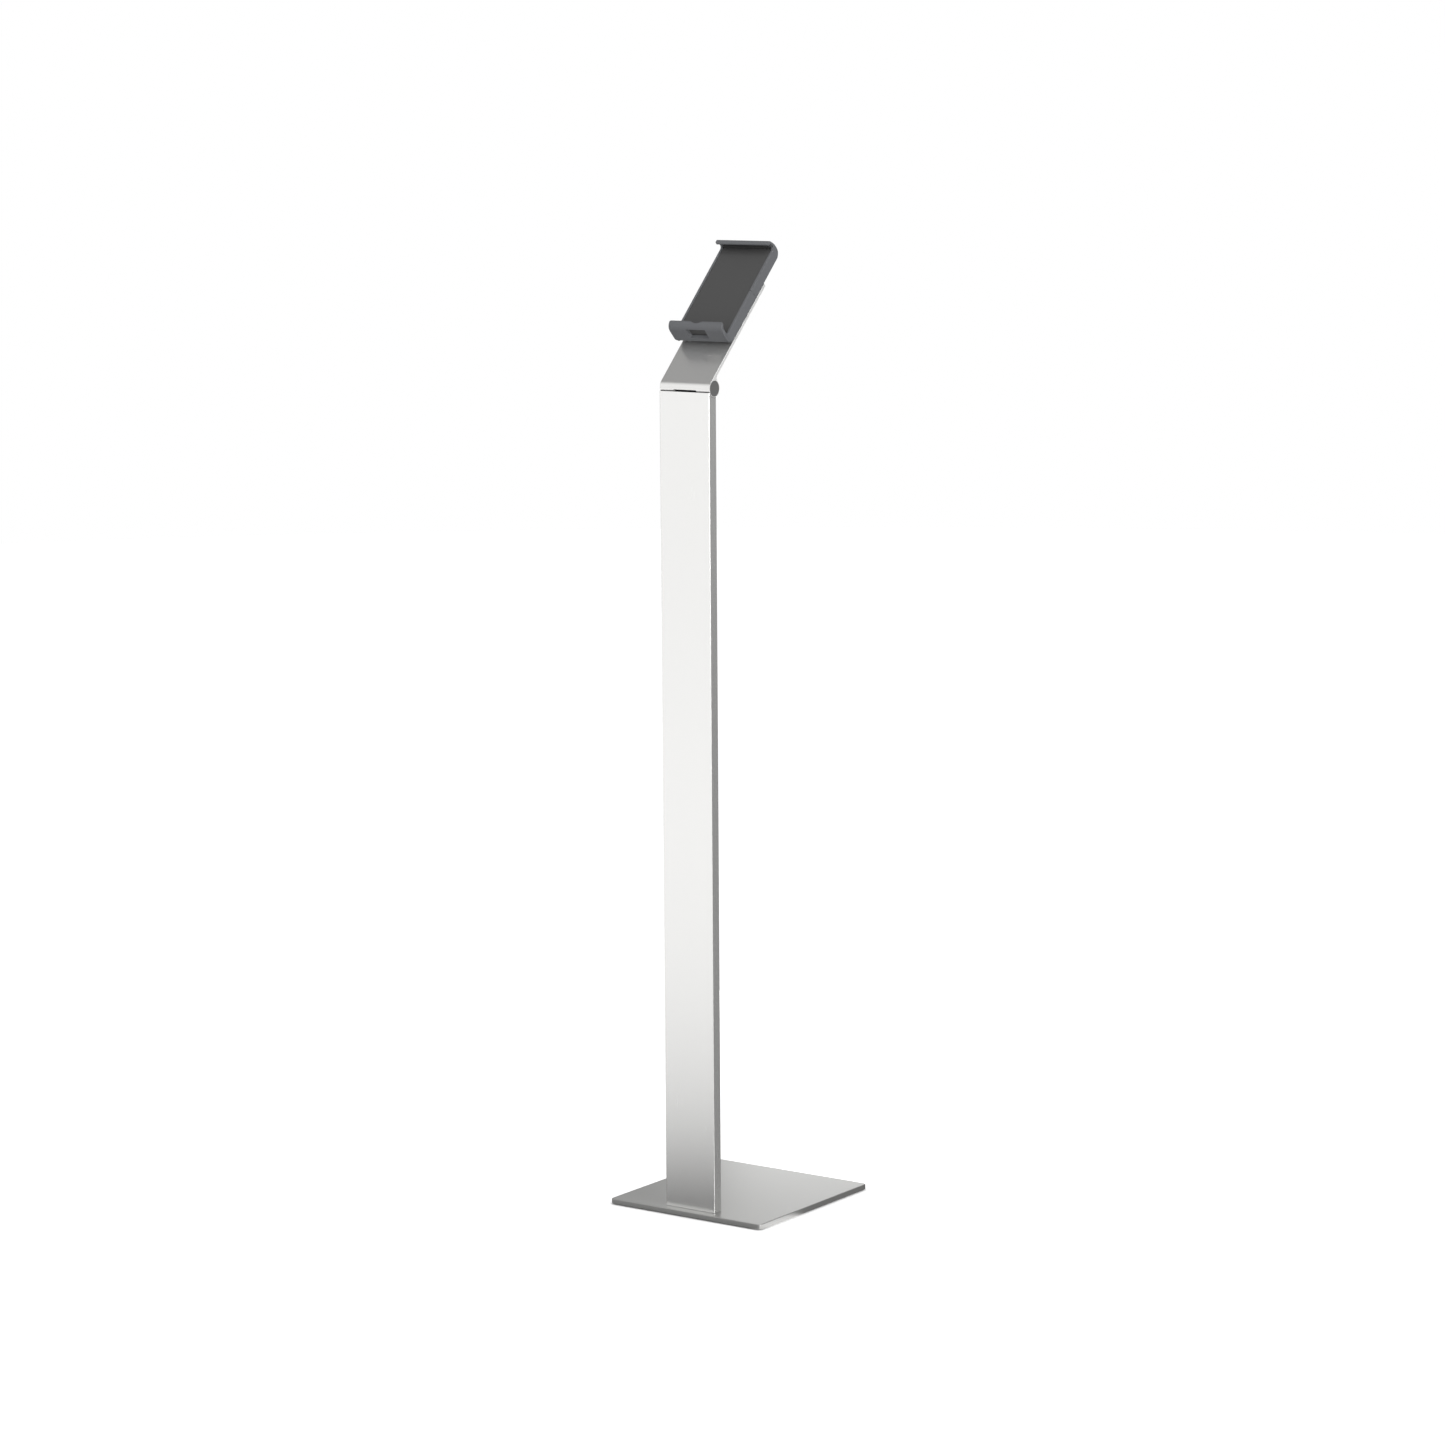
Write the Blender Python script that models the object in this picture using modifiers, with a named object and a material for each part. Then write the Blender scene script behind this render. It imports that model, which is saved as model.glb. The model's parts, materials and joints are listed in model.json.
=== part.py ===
"""Floor stand for a tablet: base plate, flat hollow column, tilting arm and swivelling spring clamp.

Run it with: blender --background --python part.py
Metres throughout. +Z is up, the user stands at -Y, and +X is to the user's right.
The origin is on the floor, under the middle of the base plate.
The head is modelled upright about its own hinge and then leaned back by HEAD_LEAN: along the
head, u is the distance up from the hinge axis and n is the distance forward of it.
"""

import math

import bmesh
import bpy
from mathutils import Matrix, Vector

GAP = 0.0003
MESH_WELD = 1e-6
CUT_WELD = 2e-6

BASE_WIDTH = 0.230
BASE_DEPTH = 0.241
BASE_THICKNESS = 0.0065
BASE_CORNER = 0.005
BASE_EDGE = 0.0008
FOOT_LIFT = 0.0013
FOOT_RADIUS = 0.010
FOOT_INSET = 0.022
BASE_TOP = FOOT_LIFT + BASE_THICKNESS

COLUMN_WIDTH = 0.0744
COLUMN_DEPTH = 0.0155
COLUMN_WALL = 0.0022
COLUMN_EDGE = 0.0015
COLUMN_SETBACK = 0.0125
COLUMN_TOP = 1.0314
COLUMN_FRONT = COLUMN_SETBACK - BASE_DEPTH / 2
COLUMN_BACK = COLUMN_FRONT + COLUMN_DEPTH
CENTRE_CAVITY_HALF = 0.016
SCREW_PORT_X = 0.024
SCREW_PORT_RADIUS = 0.0045
SIDE_CAVITY_START = 0.0305

BASE_SCREW_RADIUS = 0.004
BASE_SCREW_CLEARANCE = 0.0005
BASE_SCREW_HEAD = 0.0075
BASE_SCREW_LENGTH = 0.032

HINGE_Y = COLUMN_FRONT + 0.0117
HINGE_Z = 1.0361
HEAD_LEAN = math.radians(45)
BARREL_RADIUS = 0.0105
BARREL_BORE = 0.0085
BARREL_CLEARANCE = 0.0005
AXLE_RADIUS = 0.004
AXLE_HALF = 0.0343
AXLE_HOLE = AXLE_RADIUS + GAP
KNUCKLE_HALF = 0.0157
KNUCKLE_EYE = 0.0081
KNUCKLE_NECK_FRONT = 0.0042
KNUCKLE_FOOT_Z = 0.960
KNUCKLE_SHOULDER_Z = 1.022
KNUCKLE_SCREW_Z = (0.975, 1.003)
KNUCKLE_SCREW_RADIUS = 0.0022
KNUCKLE_SCREW_HEAD = 0.0045
WINDOW_HALF = 0.0175
WINDOW_START = math.radians(12)
WINDOW_END = math.radians(132)
NUT_ACROSS_FLATS = 0.013
FRICTION_WASHER_X = (0.0160, 0.0174)
BUSH_X = (0.0177, 0.0272)
DISC_SPRING_X = 0.0275
AXLE_NUT_X = (0.0297, 0.0340)
DISC_RADIUS = 0.0079

ARM_HALF = COLUMN_WIDTH / 2
ARM_FRONT = BARREL_RADIUS
ARM_THICKNESS = 0.004
ARM_BACK = ARM_FRONT - ARM_THICKNESS
ARM_LENGTH = 0.1635
ARM_CORNER = 0.002
ARM_FILLET = 0.005
CAP_RADIUS = 0.0094
CAP_THICKNESS = 0.0012

PIVOT_U = 0.1345
PIVOT_BOLT_HEAD = 0.009
PIVOT_BOLT_TIP = 0.0240
SPACER_RADIUS = 0.015
SWIVEL_WASHER_RADIUS = 0.0085
SWIVEL_WASHER_FRONT = 0.0184
SWIVEL_NUT_N = (0.0187, 0.0235)

CLAMP_HALF = 0.0398
CLAMP_BACK = 0.0137
CLAMP_FRONT = 0.0277
CLAMP_BOTTOM = 0.0575
CLAMP_TOP = 0.210
BACK_PLATE_FRONT = 0.0167
BACK_PLATE_TOP = 0.196
SIDE_WALL_INNER = 0.0368
SEAM_U = 0.1355
RAIL_INNER = 0.0333
RAIL_OUTER = 0.0364
CORE_FRONT = 0.0249
ROOTED_N = 0.0155
PANEL_HALF = 0.0365
PANEL_BACK = CORE_FRONT + GAP
PANEL_FRONT = 0.0272
PANEL_TOP = 0.2049
SHELF_TOP = 0.0626
LIP_FRONT = 0.0456
LIP_BACK = 0.0425
LIP_TOP = 0.068
LIP_CORNER = 0.004
CABLE_WINDOW_HALF = 0.0142
CABLE_WINDOW_N = (0.0255, 0.040)
THUMB_NOTCH_HALF = 0.013
THUMB_NOTCH_DEPTH = 0.004
POSTS = ((-0.030, 0.0705), (0.030, 0.0705), (0.0, 0.100), (0.0, 0.1645))
POST_RADIUS = 0.0032
PANEL_SCREW_RADIUS = 0.0011
PANEL_SCREW_HEAD = 0.0027
COUNTERSINK = 0.0018

SLIDER_BACK = 0.0170
SLIDER_FRONT = 0.0190
SLIDER_HALF = 0.0330
SLIDER_SLOT_HALF = 0.0203
SLIDER_FOOT = 0.076
SLIDER_BRIDGE = 0.170
SLIDER_SCREW_X = 0.026
SLIDER_SCREW_U = 0.189
SLIDER_SCREW_RADIUS = 0.0013
SLIDER_SCREW_HEAD = 0.0026
SLIDER_COUNTERSINK = 0.0016
HOOK_FOOT = BACK_PLATE_TOP + GAP
HOOK_TIP_U = 0.1994
HOOK_CORNER = 0.003

SPRING_X = 0.014
SPRING_N = 0.022
SPRING_COIL_RADIUS = 0.0020
SPRING_WIRE_RADIUS = 0.00045
SPRING_TURNS = 10
SPRING_PIN_RADIUS = 0.0012
SPRING_PIN_LOW_U = 0.081
SPRING_PIN_HIGH_U = 0.177

SIDES = (("left", -1), ("right", 1))
OVERSHOOT = 0.001

FINISHES = {
    "anodised_aluminium": ((0.72, 0.72, 0.71), 0.32, 0.9),
    "satin_steel": ((0.52, 0.52, 0.51), 0.38, 0.9),
    "clamp_shell": ((0.13, 0.135, 0.14), 0.45, 0.0),
    "clamp_panel": ((0.065, 0.065, 0.066), 0.5, 0.0),
    "cap_plastic": ((0.12, 0.12, 0.12), 0.5, 0.0),
    "black_steel": ((0.02, 0.02, 0.02), 0.45, 0.4),
    "zinc_steel": ((0.6, 0.6, 0.62), 0.35, 1.0),
    "spring_steel": ((0.4, 0.4, 0.42), 0.3, 1.0),
    "acetal": ((0.75, 0.74, 0.7), 0.4, 0.0),
    "rubber": ((0.025, 0.025, 0.025), 0.85, 0.0),
}

# Each plane's columns say where an outline's own x and y and its thickness point.
PLANES = {
    "XY": Matrix(((1, 0, 0), (0, 1, 0), (0, 0, 1))),
    "YZ": Matrix(((0, 0, 1), (1, 0, 0), (0, 1, 0))),
    "XZ": Matrix(((1, 0, 0), (0, 0, -1), (0, 1, 0))),
}
THICKNESS_AXIS = {"XY": 2, "YZ": 0, "XZ": 1}


# ---------------------------------------------------------------- scene and bodies


def clear_scene():
    for obj in list(bpy.data.objects):
        bpy.data.objects.remove(obj, do_unlink=True)


def new_collection(name):
    collection = bpy.data.collections.new(name)
    bpy.context.scene.collection.children.link(collection)
    return collection


def new_axis(name, location, lean, parent):
    """An empty that stands on a joint's axis and carries that joint's pieces."""
    axis = bpy.data.objects.new(name, None)
    axis.empty_display_size = 0.02
    axis.location = location
    axis.rotation_euler = (lean, 0, 0)
    axis.parent = parent
    PARTS.objects.link(axis)
    return axis


def make_finishes():
    made = {}
    for name, (color, roughness, metallic) in FINISHES.items():
        material = bpy.data.materials.new(name)
        material.use_nodes = True
        shader = material.node_tree.nodes["Principled BSDF"]
        shader.inputs["Base Color"].default_value = (*color, 1)
        shader.inputs["Roughness"].default_value = roughness
        shader.inputs["Metallic"].default_value = metallic
        material.diffuse_color = (*color, 1)
        made[name] = material
    return made


def piece(name, mesh, finish, body):
    """A sub-part, drawn with its joint upright; seat_pieces puts it on its body at the end."""
    mesh.materials.append(MATERIALS[finish])
    obj = bpy.data.objects.new(name, mesh)
    PARTS.objects.link(obj)
    BODY_OF[obj] = body
    return obj


def combine(target, name, mesh, operation):
    """Cuts or joins with a helper solid and keeps the result as the target's mesh."""
    tool = bpy.data.objects.new(name, mesh)
    tool.hide_render = True
    tool.display_type = "WIRE"
    HELPERS.objects.link(tool)
    modifier = target.modifiers.new(name, "BOOLEAN")
    modifier.operation = operation
    modifier.solver = "EXACT"
    modifier.object = tool
    graph = bpy.context.evaluated_depsgraph_get()
    result = bpy.data.meshes.new_from_object(target.evaluated_get(graph))
    target.modifiers.clear()
    weld(result, CUT_WELD)
    target.data = result


def weld(mesh, distance):
    """Joins the points that a curve's caps or a cut leave on top of each other, and turns every face outwards."""
    work = bmesh.new()
    work.from_mesh(mesh)
    bmesh.ops.remove_doubles(work, verts=work.verts, dist=distance)
    bmesh.ops.dissolve_degenerate(work, edges=work.edges, dist=distance / 2)
    bmesh.ops.recalc_face_normals(work, faces=work.faces)
    work.to_mesh(mesh)
    work.free()


def cut(target, name, mesh):
    combine(target, name, mesh, "DIFFERENCE")


def join(target, name, mesh):
    combine(target, name, mesh, "UNION")


def seat_pieces():
    """Hangs every piece on its body's axis. Clamp and jaw meshes are drawn from the hinge, like the arm's."""
    for obj, body in BODY_OF.items():
        obj.data.shade_smooth()
        obj.data.set_sharp_from_angle(angle=math.radians(35))
        obj.parent = BODY_AXES[body]
        if body in ("clamp", "upper_jaw"):
            obj.location = (0, 0, -PIVOT_U)


# ---------------------------------------------------------------- outlines


def rounded_outline(corners, steps=5):
    """A closed outline from (x, y, radius) corners, each rounded by an arc of its own radius."""
    points = []
    for index, (x, y, radius) in enumerate(corners):
        corner = Vector((x, y))
        if radius == 0:
            points.append(corner)
            continue
        before = (Vector(corners[index - 1][:2]) - corner).normalized()
        after = (Vector(corners[(index + 1) % len(corners)][:2]) - corner).normalized()
        half = before.angle(after) / 2
        centre = corner + (before + after).normalized() * (radius / math.sin(half))
        start = corner + before * (radius / math.tan(half)) - centre
        end = corner + after * (radius / math.tan(half)) - centre
        first = math.atan2(start.y, start.x)
        sweep = (math.atan2(end.y, end.x) - first + math.pi) % (2 * math.pi) - math.pi
        points += arc(centre, radius, first, first + sweep, steps)
    return points


def arc(centre, radius, start, end, steps):
    turns = [start + (end - start) * step / steps for step in range(steps + 1)]
    return [Vector((centre[0] + radius * math.cos(a), centre[1] + radius * math.sin(a))) for a in turns]


def circle(x, y, radius, steps=24):
    return arc((x, y), radius, 0, 2 * math.pi * (steps - 1) / steps, steps - 1)


def corner_waste(half_width, tip_u, radius, direction, side):
    """What is cut off to round a plate's corner: direction is 1 where the plate points up, side 1 at +X.

    The arc is a little wider than the radius, so that it crosses both edges and doesn't just touch them.
    """
    middle_u = tip_u - direction * radius
    quarter = arc((half_width - radius, middle_u), 1.015 * radius, 0, direction * math.pi / 2, 5)
    outside = (
        (half_width - radius, tip_u + direction * 0.001),
        (half_width + 0.001, tip_u + direction * 0.001),
        (half_width + 0.001, middle_u),
    )
    outline = [Vector(point) for point in outside] + quarter
    return outline if side > 0 else [Vector((-x, y)) for x, y in reversed(outline)]


def rectangle(x0, x1, y0, y1, radius=0.0, steps=5):
    corners = ((x0, y0, radius), (x1, y0, radius), (x1, y1, radius), (x0, y1, radius))
    return rounded_outline(corners, steps)


def hexagon(x, y, across_flats):
    return circle(x, y, across_flats / math.sqrt(3), 6)


def head_profile(corners, steps=5):
    """An outline across the head, from (n, u, radius) corners: n points towards -Y."""
    return [Vector((-n, u)) for n, u in rounded_outline(corners, steps)]


# ---------------------------------------------------------------- solids


def extruded(outlines, plane, low, high):
    """A plate or prism: the first outline is its edge and the others are holes through it."""
    curve = bpy.data.curves.new("outline", "CURVE")
    curve.dimensions = "2D"
    curve.fill_mode = "BOTH"
    curve.extrude = (high - low) / 2
    for outline in outlines:
        spline = curve.splines.new("POLY")
        spline.points.add(len(outline) - 1)
        spline.use_cyclic_u = True
        for point, (x, y) in zip(spline.points, outline):
            point.co = (x, y, 0, 1)
    mesh = mesh_of(curve)
    middle = Vector((0, 0, 0))
    middle[THICKNESS_AXIS[plane]] = (low + high) / 2
    mesh.transform(Matrix.Translation(middle) @ PLANES[plane].to_4x4())
    return mesh


def mesh_of(data, screw_steps=0):
    """The welded mesh of a curve, or of a profile turned once about Z by a Screw of so many steps."""
    guide = bpy.data.objects.new("guide", data)
    bpy.context.scene.collection.objects.link(guide)
    if screw_steps:
        screw = guide.modifiers.new("turn", "SCREW")
        screw.steps = screw_steps
        screw.render_steps = screw_steps
        screw.use_merge_vertices = True
        screw.merge_threshold = MESH_WELD
    graph = bpy.context.evaluated_depsgraph_get()
    mesh = bpy.data.meshes.new_from_object(guide.evaluated_get(graph))
    bpy.data.objects.remove(guide)
    weld(mesh, MESH_WELD)
    return mesh


def spun(points, closed, axis, at, steps):
    """A solid of revolution from (along, radius) points, with its own start at a place and its axis in a direction."""
    profile = bpy.data.meshes.new("profile")
    work = bmesh.new()
    verts = [work.verts.new((radius, 0, along)) for along, radius in points]
    for pair in zip(verts, verts[1:]):
        work.edges.new(pair)
    if closed:
        work.edges.new((verts[-1], verts[0]))
    work.to_mesh(profile)
    work.free()
    mesh = mesh_of(profile, steps)
    turn = Vector((0, 0, 1)).rotation_difference(Vector(axis)).to_matrix().to_4x4()
    mesh.transform(Matrix.Translation(at) @ turn)
    return mesh


def turned(sections, axis, at, steps=24):
    """A stack of coaxial discs and cones: (start, end, start radius, end radius), made as one body.

    The sections run along the axis, and each one's start is the one before's end.
    """
    profile = [(sections[0][0], 0.0)]
    for start, end, start_radius, end_radius in sections:
        profile += [(start, start_radius), (end, end_radius)]
    profile.append((sections[-1][1], 0.0))
    return spun(dict.fromkeys(profile), False, axis, at, steps)


def cylinder(radius, plane, low, high, at=(0, 0), steps=24):
    """A round bar, or the cutter of a round hole, square to a plane."""
    mesh = bpy.data.meshes.new("cylinder")
    work = bmesh.new()
    bmesh.ops.create_cone(work, cap_ends=True, segments=steps, radius1=radius, radius2=radius, depth=high - low)
    work.to_mesh(mesh)
    work.free()
    middle = Vector((0, 0, 0))
    middle[THICKNESS_AXIS[plane]] = (low + high) / 2
    in_plane = Matrix.Translation((*at, 0))
    mesh.transform(Matrix.Translation(middle) @ PLANES[plane].to_4x4() @ in_plane)
    return mesh


def ring(inner, outer, plane, low, high, at=(0, 0), steps=24):
    return extruded([circle(*at, outer, steps), circle(*at, inner, steps)], plane, low, high)


def forward(start_n, end_n):
    """The y range of a head piece that lies between two n distances."""
    return -end_n, -start_n


def on_side(sign, distances):
    """The x range of a piece that lies between two distances from the middle, on the side of the sign."""
    return sorted(sign * distance for distance in distances)


# ---------------------------------------------------------------- stand


def make_base():
    edge = rectangle(-BASE_WIDTH / 2, BASE_WIDTH / 2, -BASE_DEPTH / 2, BASE_DEPTH / 2, BASE_CORNER)
    base = piece("base_plate", extruded([edge], "XY", FOOT_LIFT, BASE_TOP), "satin_steel", "stand")
    bevel = base.modifiers.new("softened_edges", "BEVEL")
    bevel.width = BASE_EDGE
    bevel.segments = 2
    bevel.limit_method = "ANGLE"
    column_middle = (COLUMN_FRONT + COLUMN_BACK) / 2
    screw_top = BASE_TOP - 0.0028
    mouth = BASE_SCREW_HEAD + BASE_SCREW_CLEARANCE
    throat = BASE_SCREW_RADIUS + BASE_SCREW_CLEARANCE
    for side, sign in SIDES:
        at = (sign * SCREW_PORT_X, column_middle, 0)
        hole = turned(
            (
                (FOOT_LIFT - OVERSHOOT, FOOT_LIFT, mouth, mouth),
                (FOOT_LIFT, screw_top, mouth, throat),
                (screw_top, BASE_TOP + OVERSHOOT, throat, throat),
            ),
            (0, 0, 1),
            at,
        )
        cut(base, f"base_screw_hole_{side}", hole)
        head_face = FOOT_LIFT + 0.0002
        screw = turned(
            (
                (head_face, screw_top, BASE_SCREW_HEAD, BASE_SCREW_RADIUS),
                (screw_top, head_face + BASE_SCREW_LENGTH, BASE_SCREW_RADIUS, BASE_SCREW_RADIUS),
            ),
            (0, 0, 1),
            at,
        )
        screw = piece(f"base_screw_{side}", screw, "zinc_steel", "stand")
        socket = extruded([hexagon(*at[:2], 0.005)], "XY", 0, head_face + 0.0022)
        cut(screw, f"base_screw_socket_{side}", socket)


def make_feet():
    places = [(x, y) for y in (-1, 1) for x in (-1, 1)]
    for number, (x, y) in enumerate(places, 1):
        at = (x * (BASE_WIDTH / 2 - FOOT_INSET), y * (BASE_DEPTH / 2 - FOOT_INSET))
        foot = cylinder(FOOT_RADIUS, "XY", 0, FOOT_LIFT - GAP, at)
        piece(f"foot_pad_{number}", foot, "rubber", "stand")


def make_column():
    half = COLUMN_WIDTH / 2
    middle = (COLUMN_FRONT + COLUMN_BACK) / 2
    inner_front = COLUMN_FRONT + COLUMN_WALL
    inner_back = COLUMN_BACK - COLUMN_WALL
    sections = [
        rectangle(-half, half, COLUMN_FRONT, COLUMN_BACK, COLUMN_EDGE, 3),
        rectangle(-CENTRE_CAVITY_HALF, CENTRE_CAVITY_HALF, inner_front, inner_back),
    ]
    for _, sign in SIDES:
        side_cavity = sorted((sign * SIDE_CAVITY_START, sign * (half - COLUMN_WALL)))
        sections.append(rectangle(*side_cavity, inner_front, inner_back))
        sections.append(circle(sign * SCREW_PORT_X, middle, SCREW_PORT_RADIUS, 16))
    column = piece("column", extruded(sections, "XY", BASE_TOP + GAP, COLUMN_TOP), "anodised_aluminium", "stand")
    cradle_radius = BARREL_RADIUS + BARREL_CLEARANCE
    reach = half + OVERSHOOT
    cradle = cylinder(cradle_radius, "YZ", -reach, reach, (HINGE_Y, HINGE_Z), 64)
    cut(column, "column_cradle", cradle)
    for number, height in enumerate(KNUCKLE_SCREW_Z, 1):
        y_range = (COLUMN_BACK - 2 * COLUMN_WALL, COLUMN_BACK + OVERSHOOT)
        hole = cylinder(KNUCKLE_SCREW_RADIUS + GAP, "XZ", *y_range, (0, height), 16)
        cut(column, f"knuckle_screw_hole_{number}", hole)


def make_knuckle():
    front = COLUMN_FRONT + COLUMN_WALL + GAP
    back = COLUMN_BACK - COLUMN_WALL - GAP
    neck_front = HINGE_Y - KNUCKLE_NECK_FRONT
    tongue = rounded_outline(
        (
            (front, KNUCKLE_FOOT_Z, 0.001),
            (back, KNUCKLE_FOOT_Z, 0.001),
            (back, HINGE_Z - 0.001, 0),
            (neck_front, HINGE_Z - 0.001, 0),
            (neck_front, KNUCKLE_SHOULDER_Z, 0.0015),
            (front, KNUCKLE_SHOULDER_Z, 0.001),
        ),
        3,
    )
    knuckle = piece("hinge_knuckle", extruded([tongue], "YZ", -KNUCKLE_HALF, KNUCKLE_HALF), "black_steel", "stand")
    centre = (HINGE_Y, HINGE_Z)
    join(knuckle, "knuckle_eye", cylinder(KNUCKLE_EYE, "YZ", -KNUCKLE_HALF, KNUCKLE_HALF, centre, 32))
    reach = KNUCKLE_HALF + OVERSHOOT
    cut(knuckle, "knuckle_bore", cylinder(AXLE_HOLE, "YZ", -reach, reach, centre))
    for number, height in enumerate(KNUCKLE_SCREW_Z, 1):
        at = (0, 0, height)
        radius = KNUCKLE_SCREW_RADIUS
        tapped = cylinder(radius + GAP, "XZ", back - 0.0075, back + OVERSHOOT, (0, height), 16)
        cut(knuckle, f"knuckle_tapping_{number}", tapped)
        screw = turned(
            (
                (back - 0.007, COLUMN_BACK + GAP, radius, radius),
                (COLUMN_BACK + GAP, COLUMN_BACK + 0.0016, KNUCKLE_SCREW_HEAD, KNUCKLE_SCREW_HEAD),
                (COLUMN_BACK + 0.0016, COLUMN_BACK + 0.0026, KNUCKLE_SCREW_HEAD, 0.003),
            ),
            (0, 1, 0),
            at,
            16,
        )
        screw = piece(f"knuckle_screw_{number}", screw, "zinc_steel", "stand")
        socket = extruded([hexagon(0, height, 0.003)], "XZ", COLUMN_BACK + 0.0012, COLUMN_BACK + 0.004)
        cut(screw, f"knuckle_screw_socket_{number}", socket)


def make_axle():
    at = (0, HINGE_Y, HINGE_Z)
    centre = (HINGE_Y, HINGE_Z)
    chamfer = 0.0006
    tip = AXLE_RADIUS - chamfer
    axle = turned(
        (
            (-AXLE_HALF, chamfer - AXLE_HALF, tip, AXLE_RADIUS),
            (chamfer - AXLE_HALF, AXLE_HALF - chamfer, AXLE_RADIUS, AXLE_RADIUS),
            (AXLE_HALF - chamfer, AXLE_HALF, AXLE_RADIUS, tip),
        ),
        (1, 0, 0),
        at,
    )
    piece("hinge_axle", axle, "zinc_steel", "stand")
    for side, sign in SIDES:
        washer = ring(AXLE_HOLE, DISC_RADIUS, "YZ", *on_side(sign, FRICTION_WASHER_X), centre)
        piece(f"friction_washer_{side}", washer, "spring_steel", "stand")
        spring = disc_spring(sign)
        piece(f"disc_spring_{side}", spring, "spring_steel", "stand")
        nut = [hexagon(*centre, NUT_ACROSS_FLATS), circle(*centre, AXLE_HOLE)]
        nut = extruded(nut, "YZ", *on_side(sign, AXLE_NUT_X))
        piece(f"axle_nut_{side}", nut, "zinc_steel", "stand")


def disc_spring(sign):
    """A conical spring washer, wide side towards the bush."""
    inner = AXLE_HOLE + 0.0001
    thickness = 0.0008
    cone = 0.001
    section = (
        (DISC_SPRING_X + cone, inner),
        (DISC_SPRING_X, DISC_RADIUS),
        (DISC_SPRING_X + thickness, DISC_RADIUS),
        (DISC_SPRING_X + thickness + cone, inner),
    )
    return spun(section, True, (sign, 0, 0), (0, HINGE_Y, HINGE_Z), 24)


# ---------------------------------------------------------------- arm


def arm_outline():
    """Barrel and plate in one outline: the plate's front is tangent to the barrel, its back has a fillet."""
    fillet_n = ARM_BACK - ARM_FILLET
    fillet_u = math.sqrt((BARREL_RADIUS + ARM_FILLET) ** 2 - fillet_n**2)
    meeting = math.atan2(fillet_u, fillet_n)
    barrel = arc((0, 0), BARREL_RADIUS, meeting, 2 * math.pi, 34)
    top_round = 0.0008
    front_top = arc((ARM_FRONT - top_round, ARM_LENGTH - top_round), top_round, 0, math.pi / 2, 2)
    back_top = arc((ARM_BACK + top_round, ARM_LENGTH - top_round), top_round, math.pi / 2, math.pi, 2)
    fillet = arc((fillet_n, fillet_u), ARM_FILLET, 0, meeting - math.pi, 6)[:-1]
    return [Vector((-n, u)) for n, u in barrel + front_top + back_top + fillet]


def window_outline():
    """The stretch of barrel wall that is cut away to let the knuckle's neck through."""
    start = -HEAD_LEAN - WINDOW_START
    end = -HEAD_LEAN - WINDOW_END
    outer = arc((0, 0), BARREL_RADIUS + 0.002, start, end, 12)
    inner = arc((0, 0), BARREL_BORE - 0.002, end, start, 12)
    return [Vector((-n, u)) for n, u in outer + inner]


def make_arm():
    arm = piece("arm", extruded([arm_outline()], "YZ", -ARM_HALF, ARM_HALF), "anodised_aluminium", "arm")
    reach = ARM_HALF + OVERSHOOT
    through_plate = forward(ARM_BACK - OVERSHOOT, ARM_FRONT + OVERSHOOT)
    cut(arm, "barrel_bore", cylinder(BARREL_BORE, "YZ", -reach, reach, steps=40))
    recess = ARM_HALF - CAP_THICKNESS - GAP
    for side, sign in SIDES:
        seat = cylinder(CAP_RADIUS + GAP, "YZ", *on_side(sign, (recess, reach)), steps=40)
        cut(arm, f"cap_seat_{side}", seat)
        corner = corner_waste(ARM_HALF, ARM_LENGTH, ARM_CORNER, 1, sign)
        cut(arm, f"arm_corner_{side}", extruded([corner], "XZ", *through_plate))
    cut(arm, "knuckle_window", extruded([window_outline()], "YZ", -WINDOW_HALF, WINDOW_HALF))
    cut(arm, "pivot_hole", cylinder(AXLE_HOLE, "XZ", *through_plate, (0, PIVOT_U)))


def make_arm_fittings():
    for side, sign in SIDES:
        bush = ring(AXLE_HOLE, BARREL_BORE - GAP, "YZ", *on_side(sign, BUSH_X))
        piece(f"hinge_bush_{side}", bush, "acetal", "arm")
        outer_face = ARM_HALF - CAP_THICKNESS
        cap = turned(
            (
                (outer_face - 0.0012, outer_face, BARREL_BORE - GAP, BARREL_BORE - GAP),
                (outer_face, ARM_HALF - 0.0004, CAP_RADIUS, CAP_RADIUS),
                (ARM_HALF - 0.0004, ARM_HALF, CAP_RADIUS, CAP_RADIUS - 0.0004),
            ),
            (sign, 0, 0),
            (0, 0, 0),
            40,
        )
        piece(f"end_cap_{side}", cap, "cap_plastic", "arm")
    at = (0, 0, PIVOT_U)
    head_front = ARM_BACK - GAP
    bolt = turned(
        (
            (head_front - 0.0022, head_front - 0.0012, PIVOT_BOLT_HEAD - 0.0015, PIVOT_BOLT_HEAD),
            (head_front - 0.0012, head_front, PIVOT_BOLT_HEAD, PIVOT_BOLT_HEAD),
            (head_front, PIVOT_BOLT_TIP, AXLE_RADIUS, AXLE_RADIUS),
        ),
        (0, -1, 0),
        at,
    )
    bolt = piece("swivel_bolt", bolt, "zinc_steel", "arm")
    socket = extruded([hexagon(0, PIVOT_U, 0.005)], "XZ", *forward(0.002, 0.0057))
    cut(bolt, "swivel_bolt_socket", socket)
    centre = (0, PIVOT_U)
    spacer = ring(AXLE_HOLE, SPACER_RADIUS, "XZ", *forward(ARM_FRONT + GAP, CLAMP_BACK - GAP), centre)
    piece("swivel_spacer", spacer, "acetal", "arm")
    washer_n = forward(BACK_PLATE_FRONT + GAP, SWIVEL_WASHER_FRONT)
    washer = ring(AXLE_HOLE, SWIVEL_WASHER_RADIUS, "XZ", *washer_n, centre)
    piece("swivel_washer", washer, "spring_steel", "arm")
    nut = [hexagon(*centre, NUT_ACROSS_FLATS), circle(*centre, AXLE_HOLE)]
    piece("swivel_nut", extruded(nut, "XZ", *forward(*SWIVEL_NUT_N)), "zinc_steel", "arm")


# ---------------------------------------------------------------- clamp body


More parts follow.
